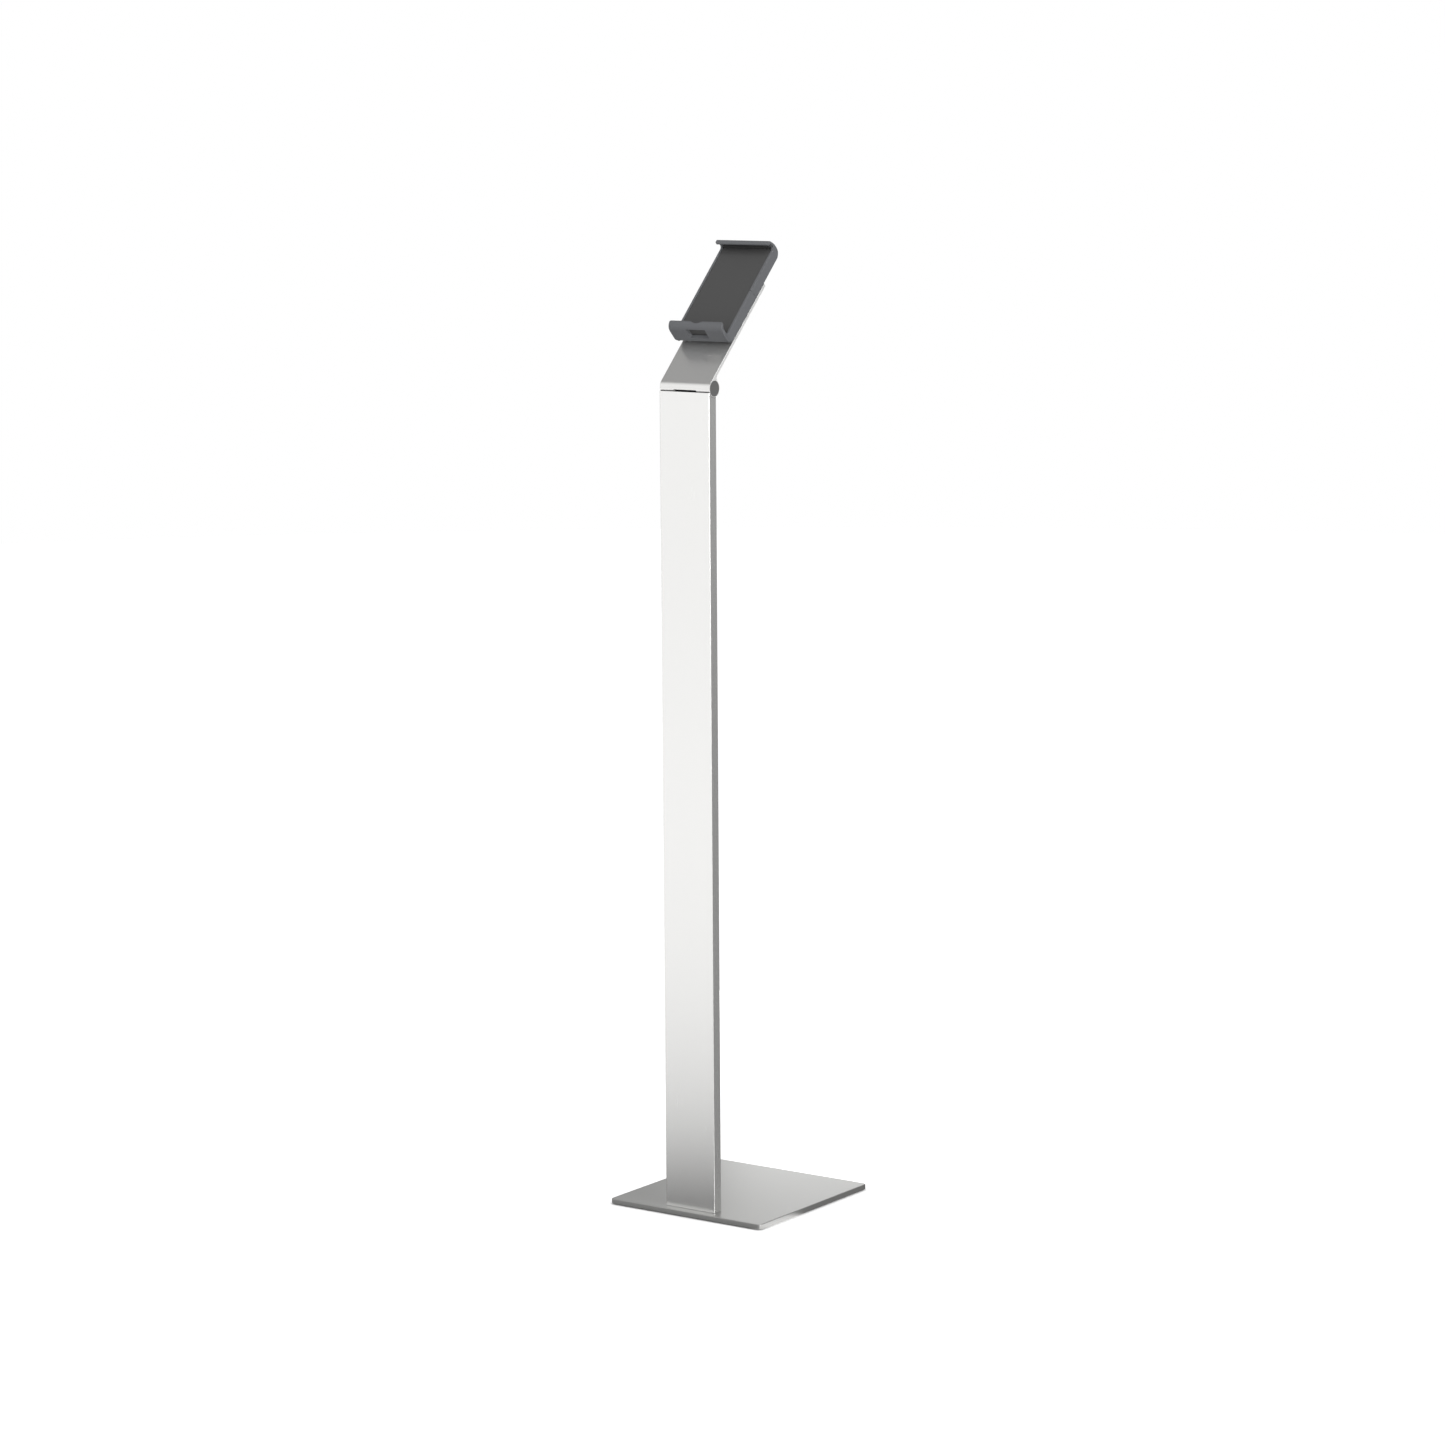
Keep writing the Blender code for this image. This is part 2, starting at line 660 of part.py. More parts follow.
def clamp_body_profile():
    """Back plate, shelf and curled front lip in one section."""
    return head_profile(
        (
            (CLAMP_BACK, CLAMP_BOTTOM, 0.010),
            (LIP_FRONT, CLAMP_BOTTOM, 0.0090),
            (LIP_FRONT, LIP_TOP, 0.0014),
            (LIP_BACK, LIP_TOP, 0.0014),
            (LIP_BACK, SHELF_TOP, 0.0045),
            (BACK_PLATE_FRONT, SHELF_TOP, 0),
            (BACK_PLATE_FRONT, BACK_PLATE_TOP, 0),
            (CLAMP_BACK, BACK_PLATE_TOP, 0),
        )
    )


def lower_wall_profile():
    """A side wall of the lower half, with a cove where it meets the shelf."""
    return head_profile(
        (
            (ROOTED_N, SHELF_TOP - 0.002, 0),
            (0.0330, SHELF_TOP - 0.002, 0),
            (0.0330, SHELF_TOP, 0),
            (CLAMP_FRONT, SHELF_TOP, 0.0045),
            (CLAMP_FRONT, SEAM_U - GAP / 2, 0.0006),
            (ROOTED_N, SEAM_U - GAP / 2, 0),
        )
    )


def thumb_notch_outline():
    """A shallow dip in the lower lip's edge that runs out smoothly on both sides."""
    count = 14
    points = []
    for step in range(count + 1):
        x = THUMB_NOTCH_HALF * (2 * step / count - 1)
        dip = THUMB_NOTCH_DEPTH * (1 + math.cos(math.pi * x / THUMB_NOTCH_HALF)) / 2
        points.append(Vector((x, LIP_TOP + 0.0001 - dip)))
    top = LIP_TOP + 0.002
    return points + [Vector((THUMB_NOTCH_HALF, top)), Vector((-THUMB_NOTCH_HALF, top))]


def make_clamp_body():
    shell = extruded([clamp_body_profile()], "YZ", -CLAMP_HALF, CLAMP_HALF)
    body = piece("clamp_body", shell, "clamp_shell", "clamp")
    for side, sign in SIDES:
        wall = on_side(sign, (SIDE_WALL_INNER, CLAMP_HALF))
        join(body, f"lower_wall_{side}", extruded([lower_wall_profile()], "YZ", *wall))
        rail = rectangle(*on_side(sign, (RAIL_INNER, RAIL_OUTER)), SHELF_TOP - 0.0006, BACK_PLATE_TOP - 0.001)
        join(body, f"rail_{side}", extruded([rail], "XZ", *forward(ROOTED_N, CORE_FRONT)))
    for number, (x, u) in enumerate(POSTS, 1):
        post = cylinder(POST_RADIUS, "XZ", *forward(ROOTED_N, CORE_FRONT), (x, u), 16)
        join(body, f"post_{number}", post)
    through_back = forward(CLAMP_BACK - OVERSHOOT, BACK_PLATE_FRONT + OVERSHOOT)
    for side, sign in SIDES:
        beside = on_side(sign, (SIDE_WALL_INNER - GAP, CLAMP_HALF + OVERSHOOT))
        strip = rectangle(*beside, SEAM_U - GAP / 2, BACK_PLATE_TOP + OVERSHOOT)
        cut(body, f"jaw_room_{side}", extruded([strip], "XZ", *through_back))
    through_lip = forward(LIP_BACK - 2 * OVERSHOOT, LIP_FRONT + OVERSHOOT)
    for side, sign in SIDES:
        corner = corner_waste(CLAMP_HALF, LIP_TOP, LIP_CORNER, 1, sign)
        cut(body, f"lower_lip_corner_{side}", extruded([corner], "XZ", *through_lip))
    cut(body, "thumb_notch", extruded([thumb_notch_outline()], "XZ", *through_lip))
    window = rectangle(-CABLE_WINDOW_HALF, CABLE_WINDOW_HALF, *forward(*CABLE_WINDOW_N), 0.001, 2)
    cut(body, "cable_window", extruded([window], "XY", CLAMP_BOTTOM - OVERSHOOT, SHELF_TOP + OVERSHOOT))
    cut(body, "swivel_hole", cylinder(AXLE_HOLE, "XZ", *through_back, (0, PIVOT_U)))
    pilot_radius = PANEL_SCREW_RADIUS + GAP
    mouth = PANEL_SCREW_HEAD + 2 * GAP
    for number, (x, u) in enumerate(POSTS, 1):
        hole = turned(
            (
                (CLAMP_BACK - OVERSHOOT, CLAMP_BACK, mouth, mouth),
                (CLAMP_BACK, CLAMP_BACK + COUNTERSINK, mouth, pilot_radius),
                (CLAMP_BACK + COUNTERSINK, CORE_FRONT + OVERSHOOT, pilot_radius, pilot_radius),
            ),
            (0, -1, 0),
            (x, 0, u),
            16,
        )
        cut(body, f"panel_screw_hole_{number}", hole)


def make_panel():
    outline = rectangle(-PANEL_HALF, PANEL_HALF, SHELF_TOP + GAP, PANEL_TOP, 0.001, 2)
    mesh = extruded([outline], "XZ", *forward(PANEL_BACK, PANEL_FRONT))
    panel = piece("front_panel", mesh, "clamp_panel", "clamp")
    for number, (x, u) in enumerate(POSTS, 1):
        pilot = cylinder(PANEL_SCREW_RADIUS + GAP, "XZ", *forward(CORE_FRONT - OVERSHOOT, 0.0264), (x, u), 16)
        cut(panel, f"panel_pilot_{number}", pilot)
        head_face = CLAMP_BACK + 0.0002
        screw = turned(
            (
                (head_face, CLAMP_BACK + COUNTERSINK, PANEL_SCREW_HEAD, PANEL_SCREW_RADIUS),
                (CLAMP_BACK + COUNTERSINK, 0.0261, PANEL_SCREW_RADIUS, PANEL_SCREW_RADIUS),
            ),
            (0, -1, 0),
            (x, 0, u),
            16,
        )
        piece(f"panel_screw_{number}", screw, "zinc_steel", "clamp")


def make_lower_pads():
    for side, sign in SIDES:
        x_range = on_side(sign, (CABLE_WINDOW_HALF + 0.0015, 0.0345))
        outline = rectangle(*x_range, *forward(0.0282, 0.0375), 0.001, 2)
        pad = extruded([outline], "XY", SHELF_TOP + GAP, SHELF_TOP + 0.0013)
        piece(f"lower_pad_{side}", pad, "rubber", "clamp")


# ---------------------------------------------------------------- upper jaw


def hook_profile():
    """The rounded top of the jaw and its lip, in one section."""
    return head_profile(
        (
            (CLAMP_BACK, HOOK_FOOT, 0),
            (CLAMP_BACK, CLAMP_TOP, 0.010),
            (0.0310, CLAMP_TOP, 0.022),
            (0.0413, 0.2054, 0.0026),
            (0.0410, HOOK_TIP_U, 0.0010),
            (0.0386, HOOK_TIP_U, 0.0010),
            (0.0374, 0.2039, 0.0018),
            (0.0300, 0.2056, 0.003),
            (CORE_FRONT, 0.2056, 0),
            (CORE_FRONT, HOOK_FOOT, 0),
        )
    )


def upper_wall_profile():
    """A side wall of the jaw, with a cove where it meets the lip."""
    return head_profile(
        (
            (CLAMP_BACK, SEAM_U + GAP / 2, 0),
            (CLAMP_FRONT, SEAM_U + GAP / 2, 0.0006),
            (CLAMP_FRONT, 0.2053, 0.004),
            (0.0320, 0.2053, 0),
            (0.0320, 0.2072, 0),
            (0.0200, 0.2072, 0),
            (CLAMP_BACK, 0.1990, 0),
        )
    )


def make_upper_jaw():
    shell = extruded([hook_profile()], "YZ", -CLAMP_HALF, CLAMP_HALF)
    jaw = piece("upper_jaw_body", shell, "clamp_shell", "upper_jaw")
    for side, sign in SIDES:
        wall = on_side(sign, (SIDE_WALL_INNER + 0.0001, CLAMP_HALF))
        join(jaw, f"upper_wall_{side}", extruded([upper_wall_profile()], "YZ", *wall))
    block = rectangle(-SLIDER_HALF, SLIDER_HALF, 0.182, 0.199)
    block = extruded([block], "XZ", *forward(SLIDER_FRONT + GAP, CORE_FRONT - 0.0002))
    join(jaw, "slider_block", block)
    for side, sign in SIDES:
        corner = corner_waste(CLAMP_HALF, HOOK_TIP_U, HOOK_CORNER, -1, sign)
        cut(jaw, f"upper_lip_corner_{side}", extruded([corner], "XZ", *forward(0.035, 0.043)))
        at = (sign * SLIDER_SCREW_X, SLIDER_SCREW_U)
        pilot = cylinder(SLIDER_SCREW_RADIUS + GAP, "XZ", *forward(SLIDER_FRONT - GAP, 0.0240), at, 16)
        cut(jaw, f"slider_screw_pilot_{side}", pilot)


def make_slider():
    outline = rounded_outline(
        (
            (-SLIDER_HALF, SLIDER_FOOT, 0.002),
            (-SLIDER_SLOT_HALF, SLIDER_FOOT, 0.002),
            (-SLIDER_SLOT_HALF, SLIDER_BRIDGE, 0.004),
            (SLIDER_SLOT_HALF, SLIDER_BRIDGE, 0.004),
            (SLIDER_SLOT_HALF, SLIDER_FOOT, 0.002),
            (SLIDER_HALF, SLIDER_FOOT, 0.002),
            (SLIDER_HALF, BACK_PLATE_TOP, 0.001),
            (-SLIDER_HALF, BACK_PLATE_TOP, 0.001),
        ),
        3,
    )
    plate = extruded([outline], "XZ", *forward(SLIDER_BACK, SLIDER_FRONT))
    slider = piece("slider_plate", plate, "zinc_steel", "upper_jaw")
    for side, sign in SIDES:
        at = (sign * SLIDER_SCREW_X, 0, SLIDER_SCREW_U)
        radius = SLIDER_SCREW_RADIUS
        throat = radius + GAP
        mouth = SLIDER_SCREW_HEAD + 2 * GAP
        cone_end = SLIDER_BACK + SLIDER_COUNTERSINK
        hole = turned(
            (
                (SLIDER_BACK - OVERSHOOT, SLIDER_BACK, mouth, mouth),
                (SLIDER_BACK, cone_end, mouth, throat),
                (cone_end, SLIDER_FRONT + OVERSHOOT, throat, throat),
            ),
            (0, -1, 0),
            at,
            16,
        )
        cut(slider, f"slider_screw_hole_{side}", hole)
        screw = turned(
            (
                (SLIDER_BACK + 0.0002, cone_end, SLIDER_SCREW_HEAD, radius),
                (cone_end, 0.0236, radius, radius),
            ),
            (0, -1, 0),
            at,
            16,
        )
        piece(f"slider_screw_{side}", screw, "zinc_steel", "upper_jaw")


def make_upper_pad():
    outline = rectangle(-0.0335, 0.0335, *forward(0.0280, 0.0330), 0.001, 2)
    piece("upper_pad", extruded([outline], "XY", 0.2034, 0.2045), "rubber", "upper_jaw")


def make_springs():
    """Two extension springs that pull the jaw shut, each between a pin on the body and one on the slider."""
    low = SPRING_PIN_LOW_U + SPRING_PIN_RADIUS + GAP + SPRING_WIRE_RADIUS
    high = SPRING_PIN_HIGH_U - SPRING_PIN_RADIUS - GAP - SPRING_WIRE_RADIUS
    steps = SPRING_TURNS * 8
    for side, sign in SIDES:
        curve = bpy.data.curves.new("spring", "CURVE")
        curve.dimensions = "3D"
        curve.bevel_depth = SPRING_WIRE_RADIUS
        curve.bevel_resolution = 1
        curve.use_fill_caps = True
        spline = curve.splines.new("POLY")
        spline.points.add(steps)
        for step, point in enumerate(spline.points):
            turn = 2 * math.pi * SPRING_TURNS * step / steps
            x = sign * SPRING_X + SPRING_COIL_RADIUS * math.cos(turn)
            y = -SPRING_N + SPRING_COIL_RADIUS * math.sin(turn)
            point.co = (x, y, low + (high - low) * step / steps, 1)
        piece(f"jaw_spring_{side}", mesh_of(curve), "spring_steel", "clamp")
        for place, u, foot, body in (
            ("low", SPRING_PIN_LOW_U, BACK_PLATE_FRONT + GAP, "clamp"),
            ("high", SPRING_PIN_HIGH_U, SLIDER_FRONT + GAP, "upper_jaw"),
        ):
            pin = turned(
                ((foot, 0.0240, SPRING_PIN_RADIUS, SPRING_PIN_RADIUS),), (0, -1, 0), (sign * SPRING_X, 0, u), 12
            )
            piece(f"spring_pin_{place}_{side}", pin, "zinc_steel", body)


# ---------------------------------------------------------------- assembly

clear_scene()
PARTS = new_collection("tablet_floor_stand")
HELPERS = new_collection("cutters")
MATERIALS = make_finishes()
BODY_OF = {}
TILT_AXIS = new_axis("head_tilt_axis", (0, HINGE_Y, HINGE_Z), -HEAD_LEAN, None)
SWIVEL_AXIS = new_axis("head_swivel_axis", (0, 0, PIVOT_U), 0, TILT_AXIS)
SLIDE_AXIS = new_axis("jaw_slide_axis", (0, 0, 0), 0, SWIVEL_AXIS)
BODY_AXES = {"stand": None, "arm": TILT_AXIS, "clamp": SWIVEL_AXIS, "upper_jaw": SLIDE_AXIS}

make_base()
make_feet()
make_column()
make_knuckle()
make_axle()
make_arm()
make_arm_fittings()
make_clamp_body()
make_panel()
make_lower_pads()
make_upper_jaw()
make_slider()
make_upper_pad()
make_springs()
seat_pieces()
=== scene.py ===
"""Looks of a tablet floor stand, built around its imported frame.

A satin steel base plate carries a flat anodised column. At its top a friction hinge holds an aluminium
arm, and on the arm swivels a dark moulded clamp whose upper jaw slides out against two springs.
Metres throughout. +Z is up, the user stands at -Y, and the head leans back over its hinge.
"""

import json
import logging
import math
from collections.abc import Callable, Iterable, Iterator, Sequence
from contextlib import contextmanager
from dataclasses import dataclass, field
from enum import Enum

import bmesh
import bpy
from mathutils import Matrix, Vector


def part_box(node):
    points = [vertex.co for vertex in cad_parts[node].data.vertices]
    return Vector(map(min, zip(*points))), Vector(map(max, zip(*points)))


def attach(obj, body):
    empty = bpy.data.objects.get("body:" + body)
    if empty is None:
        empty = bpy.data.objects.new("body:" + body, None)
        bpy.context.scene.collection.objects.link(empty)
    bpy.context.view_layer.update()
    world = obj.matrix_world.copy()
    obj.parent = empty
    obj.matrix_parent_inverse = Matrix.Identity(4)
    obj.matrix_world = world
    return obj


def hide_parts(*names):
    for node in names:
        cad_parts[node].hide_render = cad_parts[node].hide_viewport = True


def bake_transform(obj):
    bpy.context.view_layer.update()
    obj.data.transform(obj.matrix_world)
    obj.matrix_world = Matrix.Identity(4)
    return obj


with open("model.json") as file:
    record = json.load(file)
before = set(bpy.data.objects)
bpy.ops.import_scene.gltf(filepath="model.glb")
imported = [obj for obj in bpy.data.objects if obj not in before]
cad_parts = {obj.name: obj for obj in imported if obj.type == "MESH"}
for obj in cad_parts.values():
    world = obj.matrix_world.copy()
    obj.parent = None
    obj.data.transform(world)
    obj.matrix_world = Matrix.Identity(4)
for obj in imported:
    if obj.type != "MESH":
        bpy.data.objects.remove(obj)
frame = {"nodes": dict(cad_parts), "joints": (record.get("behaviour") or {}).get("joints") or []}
LOG = logging.getLogger("tablet_floor_stand")

Outline = list[Vector]
Colour = tuple[float, float, float]
Range = Sequence[float]
Where = Callable[[Vector, Vector], bool]

GAP = 0.0003
OVERSHOOT = 0.001
WELD = 2e-6
SHARP_ANGLE = math.radians(32)
BARREL_RADIUS = 0.0105
AXLE_HOLE = 0.0043
KEY_DEPTH = 0.0014
SIDES = (("left", -1), ("right", 1))
HORIZONTAL = math.radians(90)


# ---------------------------------------------------------------- outlines


def arc(centre: Sequence[float], radius: float, start: float, end: float, steps: int) -> Outline:
    """Points along an arc.

    Args:
        centre: Middle of the arc.
        radius: Its radius.
        start: First angle, in radians.
        end: Last angle, in radians.
        steps: How many chords it is made of.

    Returns:
        The points, both ends included.
    """
    turns = [start + (end - start) * step / steps for step in range(steps + 1)]
    return [Vector((centre[0] + radius * math.cos(a), centre[1] + radius * math.sin(a))) for a in turns]


def circle(centre: Sequence[float], radius: float, steps: int = 64) -> Outline:
    """A full circle of so many chords."""
    return arc(centre, radius, 0, 2 * math.pi * (steps - 1) / steps, steps - 1)


def hexagon(centre: Sequence[float], across_flats: float) -> Outline:
    """A regular hexagon, as a spanner or a key meets it."""
    return circle(centre, across_flats / math.sqrt(3), 6)


def rounded(corners: Sequence[tuple[float, float, float]], steps: int = 8) -> Outline:
    """A closed outline with every corner rounded by its own radius.

    Args:
        corners: One (x, y, radius) for each corner, in order.
        steps: Chords in each rounded corner.

    Returns:
        The outline's points.
    """
    points: Outline = []
    for index, (x, y, radius) in enumerate(corners):
        corner = Vector((x, y))
        if radius == 0:
            points.append(corner)
            continue
        before = (Vector(corners[index - 1][:2]) - corner).normalized()
        after = (Vector(corners[(index + 1) % len(corners)][:2]) - corner).normalized()
        half = before.angle(after) / 2
        centre = corner + (before + after).normalized() * (radius / math.sin(half))
        start = corner + before * (radius / math.tan(half)) - centre
        end = corner + after * (radius / math.tan(half)) - centre
        first = math.atan2(start.y, start.x)
        sweep = (math.atan2(end.y, end.x) - first + math.pi) % (2 * math.pi) - math.pi
        points += arc(centre, radius, first, first + sweep, steps)
    return points


def rectangle(xs: Sequence[float], ys: Sequence[float], radius: float = 0.0, steps: int = 8) -> Outline:
    """A rectangle with rounded corners.

    Args:
        xs: Its lowest and highest x.
        ys: Its lowest and highest y.
        radius: Radius of all four corners.
        steps: Chords in each corner.

    Returns:
        The outline's points.
    """
    corners = ((xs[0], ys[0], radius), (xs[1], ys[0], radius), (xs[1], ys[1], radius), (xs[0], ys[1], radius))
    return rounded(corners, steps)


def across_head(corners: Sequence[tuple[float, float, float]]) -> Outline:
    """A rounded outline across the head, from (n, u, radius) corners: n points to the user, u up the arm."""
    return [Vector((-n, u)) for n, u in rounded(corners, 12)]


def node_place(node: str) -> tuple[Vector, Vector, Vector]:
    """A frame node's lowest corner, highest corner and middle."""
    low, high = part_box(node)
    return low, high, (low + high) / 2


def on_side(sign: int, distances: Iterable[float]) -> list[float]:
    """The x range between two distances from the middle, on the side of the sign."""
    return sorted(sign * distance for distance in distances)


def forward(start_n: float, end_n: float) -> tuple[float, float]:
    """The y range of a head piece that lies between two n distances."""
    return -end_n, -start_n


def corner_waste(half: float, tip: float, radius: float, direction: int, side: int) -> Outline:
    """What is cut off a plate to round its corner.

    The arc is a little wider than the radius, so that it crosses both edges and doesn't just touch them.

    Args:
        half: Half the plate's width.
        tip: Where its free edge is.
        radius: Radius of the corner.
        direction: 1 where the plate points up, -1 where it points down.
        side: 1 at +X, -1 at -X.

    Returns:
        The outline of the waste.
    """
    middle = tip - direction * radius
    quarter = arc((half - radius, middle), 1.01 * radius, 0, direction * HORIZONTAL, 12)
    outside = (
        (half - radius, tip + direction * OVERSHOOT),
        (half + OVERSHOOT, tip + direction * OVERSHOOT),
        (half + OVERSHOOT, middle),
    )
    outline = [Vector(point) for point in outside] + quarter
    return outline if side > 0 else [Vector((-x, y)) for x, y in reversed(outline)]


# ---------------------------------------------------------------- the head's own axes


@dataclass(frozen=True)
class Head:
    """The leaning head's axes, read from the joints: x sideways, n towards the user, u up the arm."""

    hinge: Vector
    forward: Vector
    up: Vector
    swivel_u: float

    @classmethod
    def from_joints(cls, joints: Sequence[dict]) -> "Head":
        """Reads the hinge, swivel and slide axes.

        Args:
            joints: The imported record's joints.

        Returns:
            The head's axes at rest.
        """
        by_name = {joint["name"]: joint for joint in joints}
        hinge = Vector(by_name["head_tilt"]["pos_m"])
        up = Vector(by_name["jaw_slide"]["axis"])
        swivel = Vector(by_name["head_swivel"]["pos_m"])
        return cls(hinge, Vector(by_name["head_swivel"]["axis"]), up, (swivel - hinge).dot(up))

    @property
    def matrix(self) -> Matrix:
        """Takes a point of the upright head to where the head stands at rest."""
        rows = Matrix((Vector((1, 0, 0)), -self.forward, self.up)).transposed().to_4x4()
        return Matrix.Translation(self.hinge) @ rows

    def extent(self, node: str) -> tuple[Vector, Vector]:
        """Lowest and highest corner of a frame node, measured along the upright head's axes."""
        back = self.matrix.inverted()
        points = [back @ vertex.co for vertex in frame["nodes"][node].data.vertices]
        low = Vector(min(point[axis] for point in points) for axis in range(3))
        high = Vector(max(point[axis] for point in points) for axis in range(3))
        return low, high


# ---------------------------------------------------------------- bench


class Plane(Enum):
    """Which way an outline lies: its own x and y, and its thickness, in columns."""

    FLAT = ((1, 0, 0), (0, 1, 0), (0, 0, 1))
    ACROSS = ((0, 0, 1), (1, 0, 0), (0, 1, 0))
    FACING = ((1, 0, 0), (0, 0, -1), (0, 1, 0))

    @property
    def thickness_axis(self) -> int:
        """The world axis that the thickness runs along."""
        return {Plane.FLAT: 2, Plane.ACROSS: 0, Plane.FACING: 1}[self]

    def place(self, low: float, high: float) -> Matrix:
        """Lays an outline in this plane, halfway between two distances."""
        middle = Vector((0, 0, 0))
        middle[self.thickness_axis] = (low + high) / 2
        return Matrix.Translation(middle) @ Matrix(self.value).to_4x4()


@contextmanager
def editing(mesh: bpy.types.Mesh) -> Iterator[bmesh.types.BMesh]:
    """Opens a mesh for editing and then puts the result back."""
    work = bmesh.new()
    work.from_mesh(mesh)
    yield work
    work.to_mesh(mesh)
    work.free()


class Workpiece:
    """A solid on the bench: cut, joined and softened until it is fitted to a body as a named piece."""

    def __init__(self, mesh: bpy.types.Mesh) -> None:
        """Puts a mesh on the bench."""
        self.obj = bpy.data.objects.new("workpiece", mesh)
        self.patches: list[tuple["Finish", Where]] = []
        bpy.context.scene.collection.objects.link(self.obj)

    @classmethod
    def evaluated(cls, data: bpy.types.ID, screw_steps: int = 0) -> "Workpiece":
        """A workpiece from a curve, or from a profile that is turned once about Z.

        Args:
            data: The curve, or the profile's mesh.
            screw_steps: Facets of the full turn, or 0 for a curve.

        Returns:
            The welded workpiece.
        """
        guide = cls(data)
        if screw_steps:
            screw = guide.obj.modifiers.new("turn", "SCREW")
            screw.steps = screw_steps
            screw.render_steps = screw_steps
            screw.use_merge_vertices = True
            screw.merge_threshold = WELD / 2
        made = cls(guide.worked())
        bpy.data.objects.remove(guide.obj)
        made.weld(WELD / 2)
        return made

    @classmethod
    def prism(cls, outlines: Sequence[Outline], plane: Plane, low: float, high: float) -> "Workpiece":
        """A plate or bar with a constant section.

        Args:
            outlines: Its edge, then any holes through it.
            plane: The plane of the section.
            low: Where it starts along the plane's thickness.
            high: Where it ends.

        Returns:
            The workpiece.
        """
        curve = bpy.data.curves.new("outline", "CURVE")
        curve.dimensions = "2D"
        curve.fill_mode = "BOTH"
        curve.extrude = (high - low) / 2
        for outline in outlines:
            spline = curve.splines.new("POLY")
            spline.points.add(len(outline) - 1)
            spline.use_cyclic_u = True
            for point, (x, y) in zip(spline.points, outline):
                point.co = (x, y, 0, 1)
        made = cls.evaluated(curve)
        made.obj.data.transform(plane.place(low, high))
        return made

    @classmethod
    def turned(cls, profile: Iterable[Sequence[float]], axis: Sequence[float], at: Sequence[float],
               steps: int = 48) -> "Workpiece":
        """A turned piece.

        Args:
            profile: (distance along the axis, radius) points, from end to end.
            axis: Direction of the axis.
            at: A point on the axis, from which distances are measured.
            steps: Facets round the axis.

        Returns:
            The workpiece.
        """
        mesh = bpy.data.meshes.new("profile")
        with editing(mesh) as work:
            verts = [work.verts.new((radius, 0, along)) for along, radius in profile]
            for pair in zip(verts, verts[1:]):
                work.edges.new(pair)
        made = cls.evaluated(mesh, steps)
        turn = Vector((0, 0, 1)).rotation_difference(Vector(axis)).to_matrix().to_4x4()
        made.obj.data.transform(Matrix.Translation(at) @ turn)
        return made

    @classmethod
    def lofted(cls, rings: Sequence[Sequence[Vector]]) -> "Workpiece":
        """A solid through a row of rings.

        Args:
            rings: The rings from one end to the other, all with the same number of points.

        Returns:
            The workpiece.
        """
        mesh = bpy.data.meshes.new("loft")
        with editing(mesh) as work:
            loops = [[work.verts.new(point) for point in ring] for ring in rings]
            for near, far in zip(loops, loops[1:]):
                for index in range(len(near)):
                    work.faces.new((near[index - 1], near[index], far[index], far[index - 1]))
            work.faces.new(loops[0])
            work.faces.new(loops[-1])
            bmesh.ops.recalc_face_normals(work, faces=work.faces)
        return cls(mesh)

    @classmethod
    def wire(cls, points: Sequence[Sequence[float]], radius: float) -> "Workpiece":
        """A bent wire, six-sided and closed at its ends.

        Args:
            points: The line that it follows.
            radius: Half its thickness.

        Returns:
            The workpiece.
        """
        curve = bpy.data.curves.new("wire", "CURVE")
        curve.dimensions = "3D"
        curve.bevel_depth = radius
        curve.bevel_resolution = 1
        curve.use_fill_caps = True
        spline = curve.splines.new("POLY")
        spline.points.add(len(points) - 1)
        for point, place in zip(spline.points, points):
            point.co = (*place, 1)
        return cls.evaluated(curve)

    def worked(self) -> bpy.types.Mesh:
        """The workpiece's mesh as its modifiers leave it."""
        graph = bpy.context.evaluated_depsgraph_get()
        return bpy.data.meshes.new_from_object(self.obj.evaluated_get(graph))

    def weld(self, distance: float) -> None:
        """Joins points that lie on top of each other and turns every face outwards."""
        with editing(self.obj.data) as work:
            bmesh.ops.remove_doubles(work, verts=work.verts, dist=distance)
            bmesh.ops.dissolve_degenerate(work, edges=work.edges, dist=distance / 2)
            bmesh.ops.recalc_face_normals(work, faces=work.faces)

    def _combine(self, tool: "Workpiece", operation: str) -> "Workpiece":
        """Runs a Boolean with another workpiece, which is used up."""
        modifier = self.obj.modifiers.new("combine", "BOOLEAN")
        modifier.operation = operation
        modifier.solver = "EXACT"
        modifier.object = tool.obj
        result = self.worked()
        self.obj.modifiers.clear()
        self.obj.data = result
        bpy.data.objects.remove(tool.obj)
        self.weld(WELD)
        return self

    def cut(self, tool: "Workpiece") -> "Workpiece":
        """Takes another workpiece's shape away from this one."""
        return self._combine(tool, "DIFFERENCE")

    def join(self, other: "Workpiece") -> "Workpiece":
        """Fuses another workpiece into this one."""
        return self._combine(other, "UNION")

    def pierce(self, outline: Outline, plane: Plane, through: Range) -> "Workpiece":
        """Cuts an opening of a constant section, over a range of the plane's thickness."""
        return self.cut(Workpiece.prism([outline], plane, *through))

    def extend(self, outline: Outline, plane: Plane, over: Range) -> "Workpiece":
        """Fuses a bar of a constant section to the workpiece, over a range of the plane's thickness."""
        return self.join(Workpiece.prism([outline], plane, *over))

    def round_tip(self, half: float, tip: float, radius: float, direction: int, through: Range) -> None:
        """Rounds both corners of a plate's free edge.

        Args:
            half: Half the plate's width.
            tip: Where its free edge is.
            radius: Radius of the corners.
            direction: 1 where the plate points up, -1 where it points down.
            through: The range of y that the cut runs over.
        """
        for _, sign in SIDES:
            self.pierce(corner_waste(half, tip, radius, direction, sign), Plane.FACING, through)

